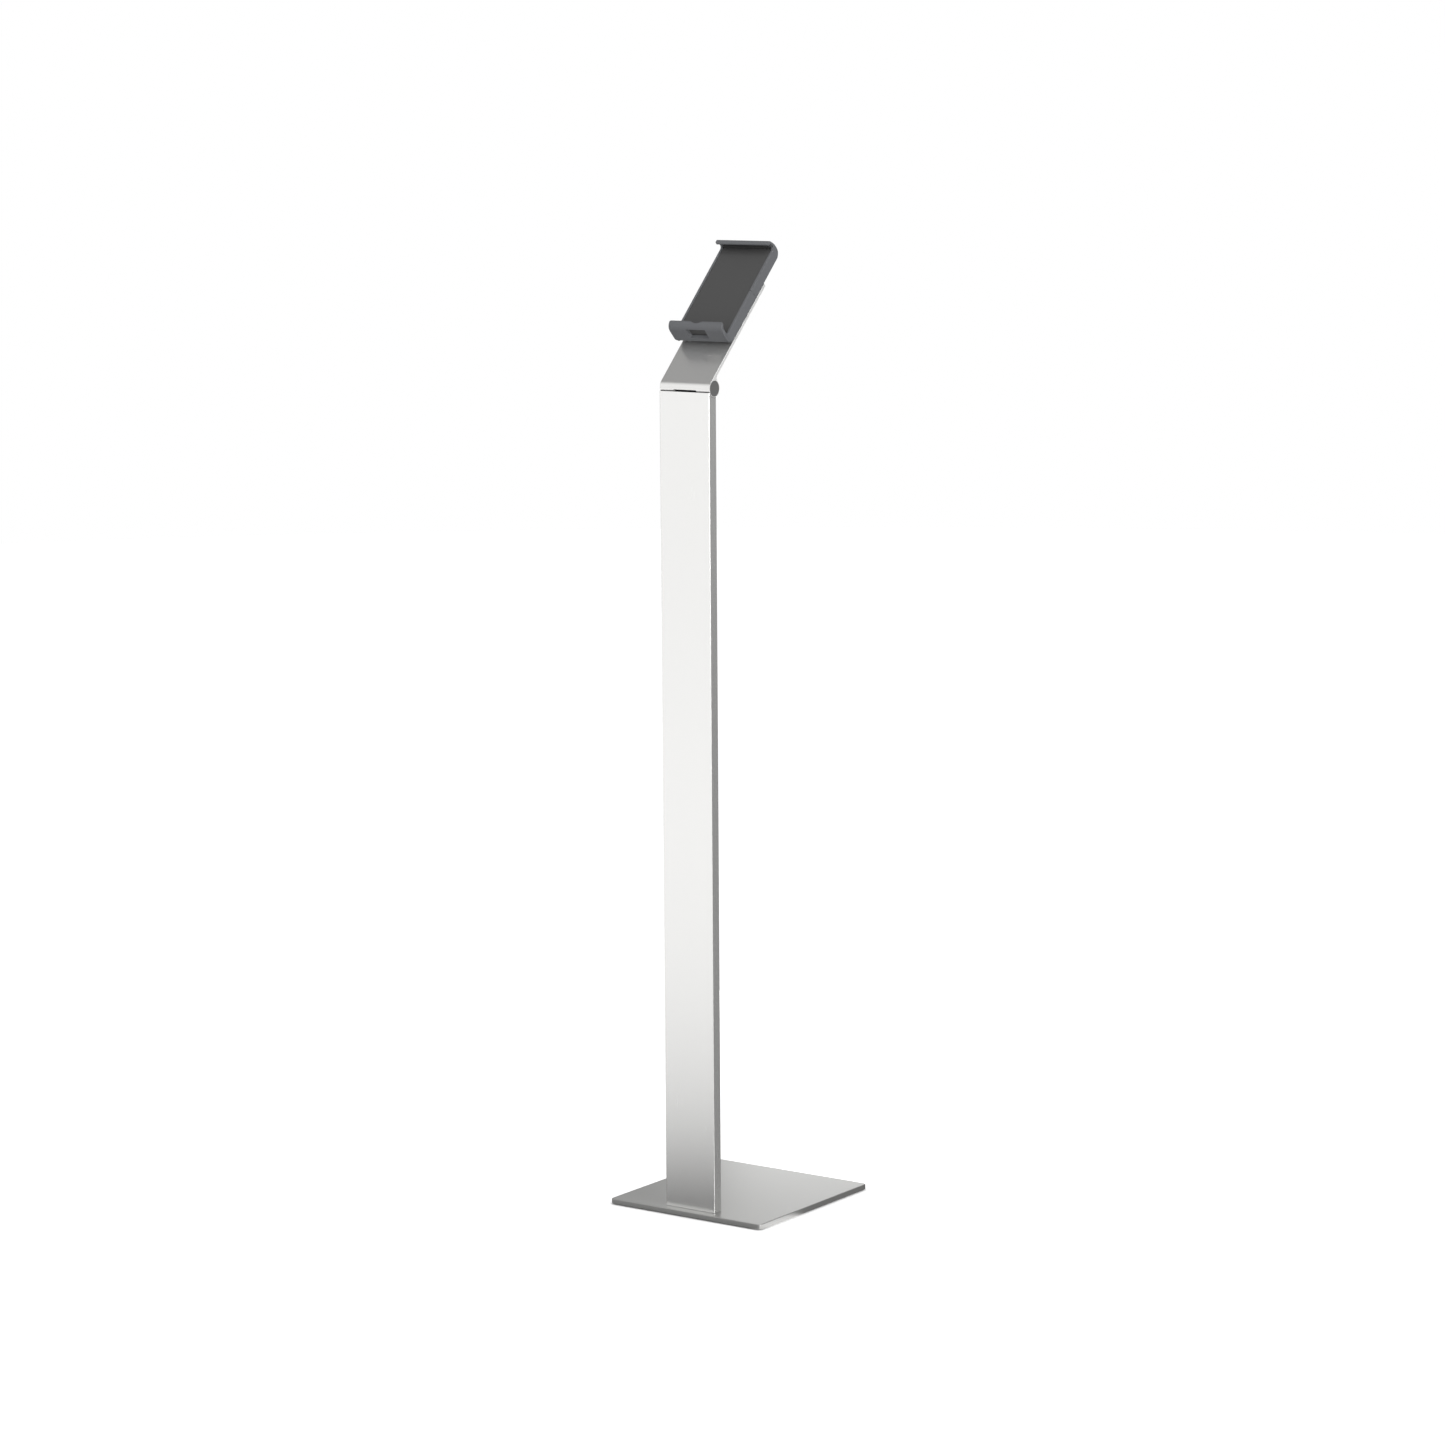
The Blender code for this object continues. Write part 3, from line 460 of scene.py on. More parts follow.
    def soften(
        self, width: float, where: Callable[[Vector], bool] = lambda middle: True, segments: int = 3
    ) -> "Workpiece":
        """Rounds the sharp edges.

        Args:
            width: Width of the rounding.
            where: Says, from an edge's middle, whether to round it; all sharp edges if left out.
            segments: Facets across the rounding.

        Returns:
            This workpiece.
        """
        with editing(self.obj.data) as work:
            sharp = [
                edge
                for edge in work.edges
                if len(edge.link_faces) == 2
                and edge.calc_face_angle() > SHARP_ANGLE
                and where((edge.verts[0].co + edge.verts[1].co) / 2)
            ]
            bmesh.ops.bevel(
                work, geom=sharp, offset=width, offset_type="OFFSET", segments=segments, profile=0.5,
                affect="EDGES", clamp_overlap=False,
            )
        return self

    def patch(self, finish: "Finish", where: Where) -> None:
        """Gives another finish to the faces that where picks, from a face's middle and its normal."""
        self.patches.append((finish, where))

    def fit(self, name: str, finish: "Finish", body: str, slot: str, place: Matrix = Matrix()) -> None:
        """Makes the workpiece the piece that stands for the frame node of the same name.

        Args:
            name: The node's name, which the piece takes with "_look" added.
            finish: What it is made of.
            body: The body it rides on.
            slot: The record's material slot; not used.
            place: Where it goes, from the axes in which it was drawn.
        """
        self.obj.data.materials.clear()
        self.obj.data.materials.append(finish.material())
        for index, (other, where) in enumerate(self.patches, 1):
            self.obj.data.materials.append(other.material())
            for face in self.obj.data.polygons:
                if where(face.center, face.normal):
                    face.material_index = index
        self.obj.data.transform(place)
        self.obj.name = f"{name}_look"
        self.obj.data.name = name
        self.obj.data.shade_smooth()
        self.obj.data.set_sharp_from_angle(angle=SHARP_ANGLE)
        normals = self.obj.modifiers.new("even_shading", "WEIGHTED_NORMAL")
        normals.keep_sharp = True
        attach(self.obj, body)
        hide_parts(name)
        LOG.info("%s: %d faces on %s, %s", self.obj.name, len(self.obj.data.polygons), body, finish.name)


def dress(nodes: Iterable[str], finish: "Finish") -> None:
    """Gives frame nodes that stay as they are their finish."""
    for node in nodes:
        data = frame["nodes"][node].data
        data.materials.clear()
        data.materials.append(finish.material())
        LOG.info("%s: kept from the frame, %s", node, finish.name)


# ---------------------------------------------------------------- shared surface effects


class Graph:
    """A node tree being wired."""

    def __init__(self, tree: bpy.types.NodeTree) -> None:
        """Starts on an empty tree."""
        self.tree = tree
        tree.nodes.clear()

    def add(self, kind: str, inputs: dict | None = None, **settings: object) -> bpy.types.Node:
        """Adds a node.

        Args:
            kind: The node's type name, without its ShaderNode prefix.
            inputs: Values or sockets for its inputs, by name or index.
            settings: Its own properties.

        Returns:
            The node.
        """
        prefix = "" if kind.startswith("Node") else "ShaderNode"
        node = self.tree.nodes.new(prefix + kind)
        for name, value in settings.items():
            setattr(node, name, value)
        for key, value in (inputs or {}).items():
            if isinstance(value, bpy.types.NodeSocket):
                self.tree.links.new(value, node.inputs[key])
            else:
                node.inputs[key].default_value = value
        return node

    def math(self, operation: str, *values: object, clamp: bool = False) -> bpy.types.NodeSocket:
        """The result of a Math node."""
        return self.add("Math", dict(enumerate(values)), operation=operation, use_clamp=clamp).outputs[0]

    def mix_colour(self, factor: object, first: object, second: object) -> bpy.types.NodeSocket:
        """Two colours mixed by a factor."""
        inputs = {0: factor, 6: first, 7: second}
        return self.add("Mix", inputs, data_type="RGBA").outputs[2]

    def effect(self, effect: "Effect", inputs: dict) -> bpy.types.NodeSocket:
        """The result of a shared effect that is given this material's own values."""
        return self.add("Group", inputs, node_tree=effect.group()).outputs[0]


class Effect(Enum):
    """The surface effects that several finishes share."""

    GRAIN = "fine_grain"
    WEAR = "edge_wear"
    DUST = "settled_dust"
    HANDLING = "handling_marks"

    def group(self) -> bpy.types.NodeTree:
        """Returns the effect's node group, building it the first time."""
        made = bpy.data.node_groups.get(self.value)
        if made is not None:
            return made
        tree = bpy.data.node_groups.new(self.value, "ShaderNodeTree")
        builders = {
            Effect.GRAIN: _build_grain,
            Effect.WEAR: _build_wear,
            Effect.DUST: _build_dust,
            Effect.HANDLING: _build_handling,
        }
        builders[self](tree)
        return tree


def _sockets(
    tree: bpy.types.NodeTree, inputs: dict[str, object], output: str
) -> tuple[Graph, bpy.types.NodeOutputs]:
    """Declares a group's sockets and starts its wiring.

    Args:
        tree: The group.
        inputs: Each input's name and its value to start with.
        output: Name of the one output.

    Returns:
        The graph, and the values that are given to the group.
    """
    graph = Graph(tree)
    for name, value in inputs.items():
        kind = "NodeSocketVector" if isinstance(value, tuple) else "NodeSocketFloat"
        socket = tree.interface.new_socket(name=name, in_out="INPUT", socket_type=kind)
        socket.default_value = value
    tree.interface.new_socket(name=output, in_out="OUTPUT", socket_type="NodeSocketFloat")
    return graph, graph.add("NodeGroupInput").outputs


def _noise(
    graph: Graph, scale: object, detail: float, stretch: object = (1.0, 1.0, 1.0)
) -> bpy.types.NodeSocket:
    """Noise in the object's own space.

    Args:
        graph: The node tree it is wired in.
        scale: Its scale.
        detail: How many finer layers it has.
        stretch: A factor for each axis, small along the axis that the noise is drawn out on.

    Returns:
        The noise, from 0 to 1.
    """
    place = graph.add("TexCoord").outputs["Object"]
    stretched = graph.add("VectorMath", {0: place, 1: stretch}, operation="MULTIPLY").outputs[0]
    noise = graph.add("TexNoise", {"Vector": stretched, "Scale": scale, "Detail": detail})
    return noise.outputs[0]


def _build_grain(tree: bpy.types.NodeTree) -> None:
    """Fine grain, drawn out along an axis where Stretch is small; 0.5 is its middle."""
    graph, given = _sockets(tree, {"Scale": 900.0, "Stretch": (1.0, 1.0, 1.0), "Contrast": 1.0}, "Value")
    fine = _noise(graph, given["Scale"], 4.0, given["Stretch"])
    centred = graph.math("SUBTRACT", fine, 0.5)
    scaled = graph.math("MULTIPLY", centred, given["Contrast"])
    value = graph.math("ADD", scaled, 0.5, clamp=True)
    graph.add("NodeGroupOutput", {"Value": value})


def _build_wear(tree: bpy.types.NodeTree) -> None:
    """Broken-up wear along edges: 1 where an edge is rubbed, 0 on the flats."""
    graph, given = _sockets(tree, {"Radius": 0.0006, "Breakup": 300.0, "Amount": 0.5}, "Mask")
    soft = graph.add("Bevel", {"Radius": given["Radius"]}, samples=4).outputs[0]
    true = graph.add("NewGeometry").outputs["Normal"]
    flatness = graph.add("VectorMath", {0: soft, 1: true}, operation="DOT_PRODUCT").outputs["Value"]
    edge = graph.math("MULTIPLY", graph.math("SUBTRACT", 1.0, flatness), 6.0, clamp=True)
    patches = _noise(graph, given["Breakup"], 3.0)
    broken = graph.add("MapRange", {0: patches, 1: 0.42, 2: 0.62}).outputs[0]
    rubbed = graph.math("MULTIPLY", edge, broken)
    graph.add("NodeGroupOutput", {"Mask": graph.math("MULTIPLY", rubbed, given["Amount"], clamp=True)})


def _build_dust(tree: bpy.types.NodeTree) -> None:
    """A thin film of dust on what faces up, thicker in patches."""
    graph, given = _sockets(tree, {"Scale": 35.0, "Amount": 0.1}, "Mask")
    facing = graph.add("TexCoord").outputs["Normal"]
    height = graph.add("SeparateXYZ", {0: facing}).outputs[2]
    upward = graph.add("MapRange", {0: height, 1: 0.4, 2: 1.0}).outputs[0]
    patches = _noise(graph, given["Scale"], 5.0)
    film = graph.math("MULTIPLY", upward, patches)
    graph.add("NodeGroupOutput", {"Mask": graph.math("MULTIPLY", film, given["Amount"], clamp=True)})


def _build_handling(tree: bpy.types.NodeTree) -> None:
    """Broad soft patches where hands and cloths have changed the sheen, centred on 0."""
    graph, given = _sockets(tree, {"Scale": 12.0, "Depth": 0.05}, "Value")
    patches = _noise(graph, given["Scale"], 2.0)
    centred = graph.math("SUBTRACT", patches, 0.5)
    graph.add("NodeGroupOutput", {"Value": graph.math("MULTIPLY", centred, given["Depth"])})


# ---------------------------------------------------------------- finishes


@dataclass(frozen=True)
class Finish:
    """A surface: its colour and sheen, and how far grain, wear, dust and handling change them."""

    name: str
    colour: Colour
    roughness: float
    metallic: float = 0.0
    worn_colour: Colour = (0.6, 0.6, 0.6)
    grain_scale: float = 900.0
    grain_stretch: Colour = (1.0, 1.0, 1.0)
    grain_colour: float = 0.04
    grain_roughness: float = 0.08
    grain_height: float = 0.00002
    wear: float = 0.3
    wear_radius: float = 0.0006
    dust: float = 0.06
    handling: float = 0.06
    specular: float = 0.5

    def material(self) -> bpy.types.Material:
        """Returns the finish's material, building it the first time."""
        made = bpy.data.materials.get(self.name)
        if made is not None:
            return made
        made = bpy.data.materials.new(self.name)
        made.use_nodes = True
        made.diffuse_color = (*self.colour, 1)
        self._wire(Graph(made.node_tree))
        return made

    def _texture(self, graph: Graph) -> bpy.types.NodeSocket:
        """The fine relief of the surface, from 0 to 1."""
        values = {"Scale": self.grain_scale, "Stretch": self.grain_stretch, "Contrast": 1.6}
        return graph.effect(Effect.GRAIN, values)

    def _wire(self, graph: Graph) -> None:
        """Builds the whole surface."""
        relief = self._texture(graph)
        wear = {"Radius": self.wear_radius, "Breakup": 260.0, "Amount": self.wear}
        worn = graph.effect(Effect.WEAR, wear)
        dusty = graph.effect(Effect.DUST, {"Scale": 30.0, "Amount": self.dust})
        handled = graph.effect(Effect.HANDLING, {"Scale": 14.0, "Depth": self.handling})
        darker = tuple(value * (1 - self.grain_colour) for value in self.colour)
        lighter = tuple(min(1.0, value * (1 + self.grain_colour)) for value in self.colour)
        base = graph.mix_colour(relief, (*darker, 1), (*lighter, 1))
        base = graph.mix_colour(worn, base, (*self.worn_colour, 1))
        base = graph.mix_colour(dusty, base, (0.62, 0.61, 0.59, 1))
        swing = graph.math("MULTIPLY", graph.math("SUBTRACT", relief, 0.5), self.grain_roughness)
        sheen = graph.math("ADD", graph.math("ADD", self.roughness, swing), handled)
        sheen = graph.math("ADD", sheen, graph.math("MULTIPLY", dusty, 0.3), clamp=True)
        bump = graph.add("Bump", {"Strength": 0.6, "Distance": self.grain_height, "Height": relief})
        shader = graph.add(
            "BsdfPrincipled",
            {
                "Base Color": base,
                "Roughness": sheen,
                "Metallic": self.metallic,
                "Specular IOR Level": self.specular,
                "Normal": bump.outputs[0],
            },
        )
        graph.add("OutputMaterial", {"Surface": shader.outputs[0]})


@dataclass(frozen=True)
class MouldedPlastic(Finish):
    """A moulded surface with the small rounded cells of a spark-eroded tool."""

    cell_scale: float = 1400.0

    def _texture(self, graph: Graph) -> bpy.types.NodeSocket:
        """Cells of the tool's texture, blurred by a little noise."""
        place = graph.add("TexCoord").outputs["Object"]
        cells = graph.add("TexVoronoi", {"Vector": place, "Scale": self.cell_scale}, feature="SMOOTH_F1")
        grain = Finish._texture(self, graph)
        weighted = graph.math("MULTIPLY", cells.outputs[0], 0.6), graph.math("MULTIPLY", grain, 0.4)
        return graph.math("ADD", *weighted)


ANODISED = {
    "worn_colour": (0.95, 0.95, 0.95), "grain_scale": 1500.0, "grain_colour": 0.012, "grain_roughness": 0.03,
    "grain_height": 0.000004, "wear": 0.15, "dust": 0.02, "handling": 0.03,
}
ALONG_COLUMN = (1.0, 1.0, 0.02)
ALONG_ARM = (0.02, 1.0, 1.0)

COLUMN_ALUMINIUM = Finish(
    "anodised_column", (0.86, 0.857, 0.845), 0.26, 0.85, grain_stretch=ALONG_COLUMN, **ANODISED
)
ARM_ALUMINIUM = Finish("anodised_arm", (0.80, 0.797, 0.785), 0.26, 0.85, grain_stretch=ALONG_ARM, **ANODISED)
SAWN_ALUMINIUM = Finish(
    "sawn_aluminium", (0.9, 0.9, 0.895), 0.5, 0.5, (0.95, 0.95, 0.95), 1300.0, (1.0, 1.0, 0.1), 0.02, 0.05,
    0.000006, wear=0.1, dust=0.0, handling=0.03,
)
SATIN_STEEL = Finish(
    "satin_steel", (0.555, 0.553, 0.555), 0.32, 0.9, (0.85, 0.85, 0.85), 1100.0, (0.03, 1.0, 1.0), 0.02, 0.05,
    0.000006, wear=0.5, wear_radius=0.0009, dust=0.05, handling=0.05,
)
CLAMP_SHELL = MouldedPlastic(
    "clamp_shell", (0.105, 0.110, 0.116), 0.46, 0.0, (0.26, 0.27, 0.28), grain_colour=0.08,
    grain_height=0.00003, wear=0.35, dust=0.03,
)
CLAMP_PANEL = MouldedPlastic(
    "clamp_panel", (0.046, 0.046, 0.047), 0.52, 0.0, (0.14, 0.14, 0.14), grain_colour=0.1,
    grain_height=0.00003, wear=0.2, dust=0.03,
)
CAP_PLASTIC = MouldedPlastic(
    "cap_plastic", (0.105, 0.105, 0.105), 0.48, 0.0, (0.2, 0.2, 0.2), grain_colour=0.08, wear=0.2, dust=0.02
)
BLACK_STEEL = Finish("black_steel", (0.02, 0.02, 0.02), 0.42, 0.4, (0.2, 0.2, 0.2), 1200.0, wear=0.4)
ZINC_STEEL = Finish(
    "zinc_steel", (0.62, 0.63, 0.66), 0.32, 1.0, (0.8, 0.8, 0.8), 700.0, grain_colour=0.08, wear=0.4
)
SPRING_STEEL = Finish(
    "spring_steel", (0.42, 0.42, 0.44), 0.3, 1.0, (0.6, 0.6, 0.6), 900.0, grain_colour=0.06
)
ACETAL = Finish("acetal", (0.75, 0.74, 0.7), 0.4, 0.0, (0.85, 0.84, 0.8), 500.0, grain_colour=0.03, wear=0.1)
RUBBER = MouldedPlastic(
    "rubber", (0.022, 0.022, 0.023), 0.82, 0.0, (0.05, 0.05, 0.05), wear=0.3, cell_scale=900.0
)


# ---------------------------------------------------------------- fasteners


@dataclass(frozen=True)
class Screw:
    """A screw or bolt along an axis, from under its head's face to its tip."""

    shank: float
    head: float

    def dome(self, seat: float, face: float, tip: float) -> list[tuple[float, float]]:
        """A button head's profile.

        Args:
            seat: Where the head sits.
            face: The head's outermost face.
            tip: The shank's end.

        Returns:
            (distance, radius) points from the face to the tip.
        """
        height = face - seat
        crown = [
            (face - height * 0.75 * (1 - math.cos(turn)), self.head * (0.55 + 0.45 * math.sin(turn)))
            for turn in (HORIZONTAL * step / 8 for step in range(9))
        ]
        chamfer = self.shank * 0.15 * (1 if tip > seat else -1)
        return [(face, 0.0), *crown, (seat, self.head), (seat, self.shank), (tip - chamfer, self.shank),
                (tip, self.shank * 0.85), (tip, 0.0)]

    def countersunk(self, face: float, cone_end: float, tip: float) -> list[tuple[float, float]]:
        """A countersunk head's profile, from its face to the tip."""
        return [(face, 0.0), (face, self.head), (face + (cone_end - face) * 0.12, self.head),
                (cone_end, self.shank), (tip, self.shank), (tip, 0.0)]


# ---------------------------------------------------------------- stand


@dataclass
class Stand:
    """Base plate, feet, column and the fixed half of the hinge."""

    corner: float = 0.005
    edge: float = 0.0008
    column_edge: float = 0.0015
    wall: float = 0.0022
    centre_cavity: float = 0.016
    port_radius: float = 0.0045
    side_cavity_start: float = 0.0305
    cradle_clearance: float = 0.0005
    knuckle_half: float = 0.0157
    knuckle_eye: float = 0.0081
    foot_chamfer: float = 0.0003
    foot_groove: float = 0.0004
    below_cone: float = 0.0028
    screw_hole: float = 0.0025
    tapped_depth: float = 0.0075
    neck_ahead: float = 0.0042
    shoulder_below: float = 0.0141
    base_low: Vector = field(init=False)
    base_high: Vector = field(init=False)
    column_low: Vector = field(init=False)
    column_high: Vector = field(init=False)

    def __post_init__(self) -> None:
        """Reads the plate's and the column's places from the frame."""
        self.base_low, self.base_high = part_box("base_plate")
        self.column_low, self.column_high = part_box("column")

    def build(self, head: Head) -> None:
        """Makes every piece of the stand."""
        self.base_plate()
        self.base_screws()
        self.feet()
        self.column(head)
        self.knuckle(head)
        self.knuckle_screws()
        dress(("hinge_axle", "axle_nut_left", "axle_nut_right"), ZINC_STEEL)
        springs = ("friction_washer_left", "friction_washer_right", "disc_spring_left", "disc_spring_right")
        dress(springs, SPRING_STEEL)

    def base_plate(self) -> None:
        """The plate with its rounded corners, soft edges and countersunk screw holes."""
        low, high = self.base_low, self.base_high
        outline = rectangle((low.x, high.x), (low.y, high.y), self.corner, 12)
        plate = Workpiece.prism([outline], Plane.FLAT, low.z, high.z).soften(self.edge, segments=4)
        for side, _ in SIDES:
            screw_low, screw_high, middle = node_place(f"base_screw_{side}")
            head = (screw_high.x - screw_low.x) / 2 + 0.0005
            throat = 0.0045
            cone_end = high.z - self.below_cone
            hole = [(low.z - OVERSHOOT, 0.0), (low.z - OVERSHOOT, head), (low.z, head), (cone_end, throat),
                    (high.z + OVERSHOOT, throat), (high.z + OVERSHOOT, 0.0)]
            plate.cut(Workpiece.turned(hole, (0, 0, 1), (middle.x, middle.y, 0)))
        plate.fit("base_plate", SATIN_STEEL, "stand", "satin_steel")

    def base_screws(self) -> None:
        """The two countersunk screws that hold the column from below."""
        for side, _ in SIDES:
            low, high, middle = node_place(f"base_screw_{side}")
            kind = Screw(shank=0.004, head=(high.x - low.x) / 2)
            profile = kind.countersunk(low.z, self.base_high.z - self.below_cone, high.z)
            screw = Workpiece.turned(profile, (0, 0, 1), (middle.x, middle.y, 0))
            screw.pierce(hexagon(middle.xy, 0.005), Plane.FLAT, (0, low.z + 0.0022))
            screw.fit(f"base_screw_{side}", ZINC_STEEL, "stand", "zinc_steel")

    def feet(self) -> None:
        """Four rubber pads with a shallow ring moulded into the face on the floor."""
        for number in range(1, 5):
            low, high, middle = node_place(f"foot_pad_{number}")
            radius = (high.x - low.x) / 2
            floor, groove = low.z, low.z + self.foot_groove
            profile = [(floor, 0.0), (floor, radius * 0.5), (groove, radius * 0.54), (groove, radius * 0.68),
                       (floor, radius * 0.72), (floor, radius - self.foot_chamfer),
                       (floor + self.foot_chamfer, radius), (high.z, radius), (high.z, 0.0)]
            pad = Workpiece.turned(profile, (0, 0, 1), (middle.x, middle.y, 0))
            pad.fit(f"foot_pad_{number}", RUBBER, "stand", "rubber")

    def column(self, head: Head) -> None:
        """The hollow extrusion, with the cradle that the barrel turns in cut across its top; the cradle and
        the top rim are black steel as painted shade.
        """
        low, high = self.column_low, self.column_high
        ys = (low.y + self.wall, high.y - self.wall)
        middle = (low.y + high.y) / 2
        sections = [
            rectangle((low.x, high.x), (low.y, high.y), self.column_edge, 8),
            rectangle((-self.centre_cavity, self.centre_cavity), ys),
        ]
        for side, sign in SIDES:
            sections.append(rectangle(on_side(sign, (self.side_cavity_start, high.x - self.wall)), ys))
            screw_x = node_place(f"base_screw_{side}")[2].x
            sections.append(circle((screw_x, middle), self.port_radius, 24))
        column = Workpiece.prism(sections, Plane.FLAT, low.z, high.z)
        radius = BARREL_RADIUS + self.cradle_clearance
        reach = (low.x - OVERSHOOT, high.x + OVERSHOOT)
        axis = head.hinge.yz
        column.pierce(circle(axis, radius, 128), Plane.ACROSS, reach)
        self.pierce_for_screws(column, (high.y - 2 * self.wall, high.y + OVERSHOOT))
        rim = high.z - WELD
        # Painted shade: the cradle and the column's top rim are made black steel, so the barrel shows a dark
        # line just above the rim where there is only shade and reflection.
        column.patch(BLACK_STEEL, lambda at, _: (at.yz - axis).length < radius + WELD or at.z > rim)
        column.fit("column", COLUMN_ALUMINIUM, "stand", "anodised_aluminium")

    def pierce_for_screws(self, piece: Workpiece, depth: Range) -> None:
        """Makes the holes of the two screws that hold the knuckle in the column.

        Args:
            piece: The column or the knuckle.
            depth: The range of y that the holes run over.
        """
        for number in (1, 2):
            at = (0.0, node_place(f"knuckle_screw_{number}")[2].z)
            piece.pierce(circle(at, self.screw_hole, 24), Plane.FACING, depth)

    def knuckle(self, head: Head) -> None:
        """The black steel tongue that rises from the column and carries the axle."""
        low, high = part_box("hinge_knuckle")
        front = self.column_low.y + self.wall + GAP
        back = self.column_high.y - self.wall - GAP
        neck_front = head.hinge.y - self.neck_ahead
        shoulder = head.hinge.z - self.shoulder_below
        neck_top = head.hinge.z - 0.001
        tongue = rounded((
            (front, low.z, 0.001), (back, low.z, 0.001), (back, neck_top, 0), (neck_front, neck_top, 0),
            (neck_front, shoulder, 0.0015), (front, shoulder, 0.001),
        ))
        knuckle = Workpiece.prism([tongue], Plane.ACROSS, low.x, high.x)
        knuckle.extend(circle(head.hinge.yz, self.knuckle_eye, 64), Plane.ACROSS, (low.x, high.x))
        reach = (low.x - OVERSHOOT, high.x + OVERSHOOT)
        knuckle.pierce(circle(head.hinge.yz, AXLE_HOLE, 32), Plane.ACROSS, reach)
        self.pierce_for_screws(knuckle, (back - self.tapped_depth, back + OVERSHOOT))
        knuckle.soften(0.0003, lambda point: abs(abs(point.x) - high.x) < WELD and point.z > shoulder)
        knuckle.fit("hinge_knuckle", BLACK_STEEL, "stand", "black_steel")

    def knuckle_screws(self) -> None:
        """Two button-head screws in the column's back."""
        for number in (1, 2):
            low, high, middle = node_place(f"knuckle_screw_{number}")
            kind = Screw(shank=0.0022, head=(high.x - low.x) / 2)
            profile = kind.dome(self.column_high.y + GAP, high.y, low.y)
            screw = Workpiece.turned(profile, (0, 1, 0), (0, 0, middle.z))
            screw.pierce(hexagon((0, middle.z), 0.003), Plane.FACING, (high.y - KEY_DEPTH, high.y + 0.002))
            screw.fit(f"knuckle_screw_{number}", ZINC_STEEL, "stand", "zinc_steel")


# ---------------------------------------------------------------- arm


@dataclass
class Arm:
    """The tilting extrusion, its end caps and the swivel that carries the clamp."""

    head: Head
    bore: float = 0.0085
    thickness: float = 0.004
    fillet: float = 0.005
    corner: float = 0.002
    edge: float = 0.0006
    cap_radius: float = 0.0094
    cap_thickness: float = 0.0012
    window_half: float = 0.0181
    window_start: float = math.radians(12)
    window_end: float = math.radians(132)
    window_slant: float = 0.0018
    slant_share: float = 0.1
    lean: float = math.radians(45)
    half: float = field(init=False)
    length: float = field(init=False)

    def __post_init__(self) -> None:
        """Reads the arm's width and length from the frame."""
        _, high = self.head.extent("arm")
        self.half = high.x
        self.length = high.z

    def build(self) -> None:
        """Makes every piece that turns with the arm."""
        self.extrusion()
        self.end_caps()
        self.swivel_bolt()
        self.spacer()
        dress(("hinge_bush_left", "hinge_bush_right"), ACETAL)
        dress(("swivel_washer",), SPRING_STEEL)
        dress(("swivel_nut",), ZINC_STEEL)

    def section(self) -> Outline:
        """Barrel and plate in one section: the plate's front runs into the barrel, its back has a fillet."""
        back = BARREL_RADIUS - self.thickness
        fillet_n = back - self.fillet
        fillet_u = math.sqrt((BARREL_RADIUS + self.fillet) ** 2 - fillet_n**2)
        meeting = math.atan2(fillet_u, fillet_n)
        barrel = arc((0, 0), BARREL_RADIUS, meeting, 2 * math.pi, 72)
        soft = 0.0008
        front_top = arc((BARREL_RADIUS - soft, self.length - soft), soft, 0, HORIZONTAL, 4)
        back_top = arc((back + soft, self.length - soft), soft, HORIZONTAL, math.pi, 4)
        hollow = arc((fillet_n, fillet_u), self.fillet, 0, meeting - math.pi, 12)[:-1]
        return [Vector((-n, u)) for n, u in barrel + front_top + back_top + hollow]

    def window(self) -> Workpiece:
        """What is cut from the barrel for the knuckle's neck: an opening with two slanted corners."""
        rings = []
        count = 30
        for step in range(count + 1):
            share = step / count
            turn = -self.lean - self.window_start - (self.window_end - self.window_start) * share
            half = self.window_half - self.window_slant * max(0.0, 1 - share / self.slant_share)
            inner, outer = self.bore - 0.002, BARREL_RADIUS + 0.002
            ring = ((-half, inner), (half, inner), (half, outer), (-half, outer))
            out = Vector((0, -math.cos(turn), math.sin(turn)))
            rings.append([Vector((x, 0, 0)) + radius * out for x, radius in ring])
        return Workpiece.lofted(rings)

    def extrusion(self) -> None:
        """The arm itself."""
        arm = Workpiece.prism([self.section()], Plane.ACROSS, -self.half, self.half)
        reach = self.half + OVERSHOOT
        through = forward(BARREL_RADIUS - self.thickness - OVERSHOOT, BARREL_RADIUS + OVERSHOOT)
        arm.round_tip(self.half, self.length, self.corner, 1, through)
        end, plate_start = self.half, 2 * BARREL_RADIUS
        arm.soften(self.edge, lambda point: abs(abs(point.x) - end) < WELD and point.z > plate_start)
        arm.pierce(circle((0, 0), self.bore, 80), Plane.ACROSS, (-reach, reach))
        recess = self.half - self.cap_thickness - GAP
        for _, sign in SIDES:
            seat = circle((0, 0), self.cap_radius + GAP, 80)
            arm.pierce(seat, Plane.ACROSS, on_side(sign, (recess, reach)))
        arm.cut(self.window())
        arm.pierce(circle((0, self.head.swivel_u), AXLE_HOLE, 48), Plane.FACING, through)
        arm.patch(SAWN_ALUMINIUM, lambda at, normal: abs(normal.x) > 0.5 and abs(at.x) > end - self.edge)
        arm.fit("arm", ARM_ALUMINIUM, "arm", "anodised_aluminium", self.head.matrix)

    def end_caps(self) -> None:
        """Grey plastic discs with a soft rim and a faint dished face."""
        outer_face = self.half - self.cap_thickness
        rim = 0.0004
        for side, sign in SIDES:
            bevel = [(self.half - rim * (1 - math.cos(a)), self.cap_radius - rim * (1 - math.sin(a)))
                     for a in (HORIZONTAL * step / 4 for step in range(5))]
            plug = outer_face - 0.0012
            profile = [(plug, 0.0), (plug, self.bore - GAP), (outer_face, self.bore - GAP),
                       (outer_face, self.cap_radius), *reversed(bevel),
                       (self.half - 0.0001, self.cap_radius * 0.8), (self.half - 0.0002, 0.0)]
            cap = Workpiece.turned(profile, (sign, 0, 0), (0, 0, 0), 64)
            cap.fit(f"end_cap_{side}", CAP_PLASTIC, "arm", "cap_plastic", self.head.matrix)

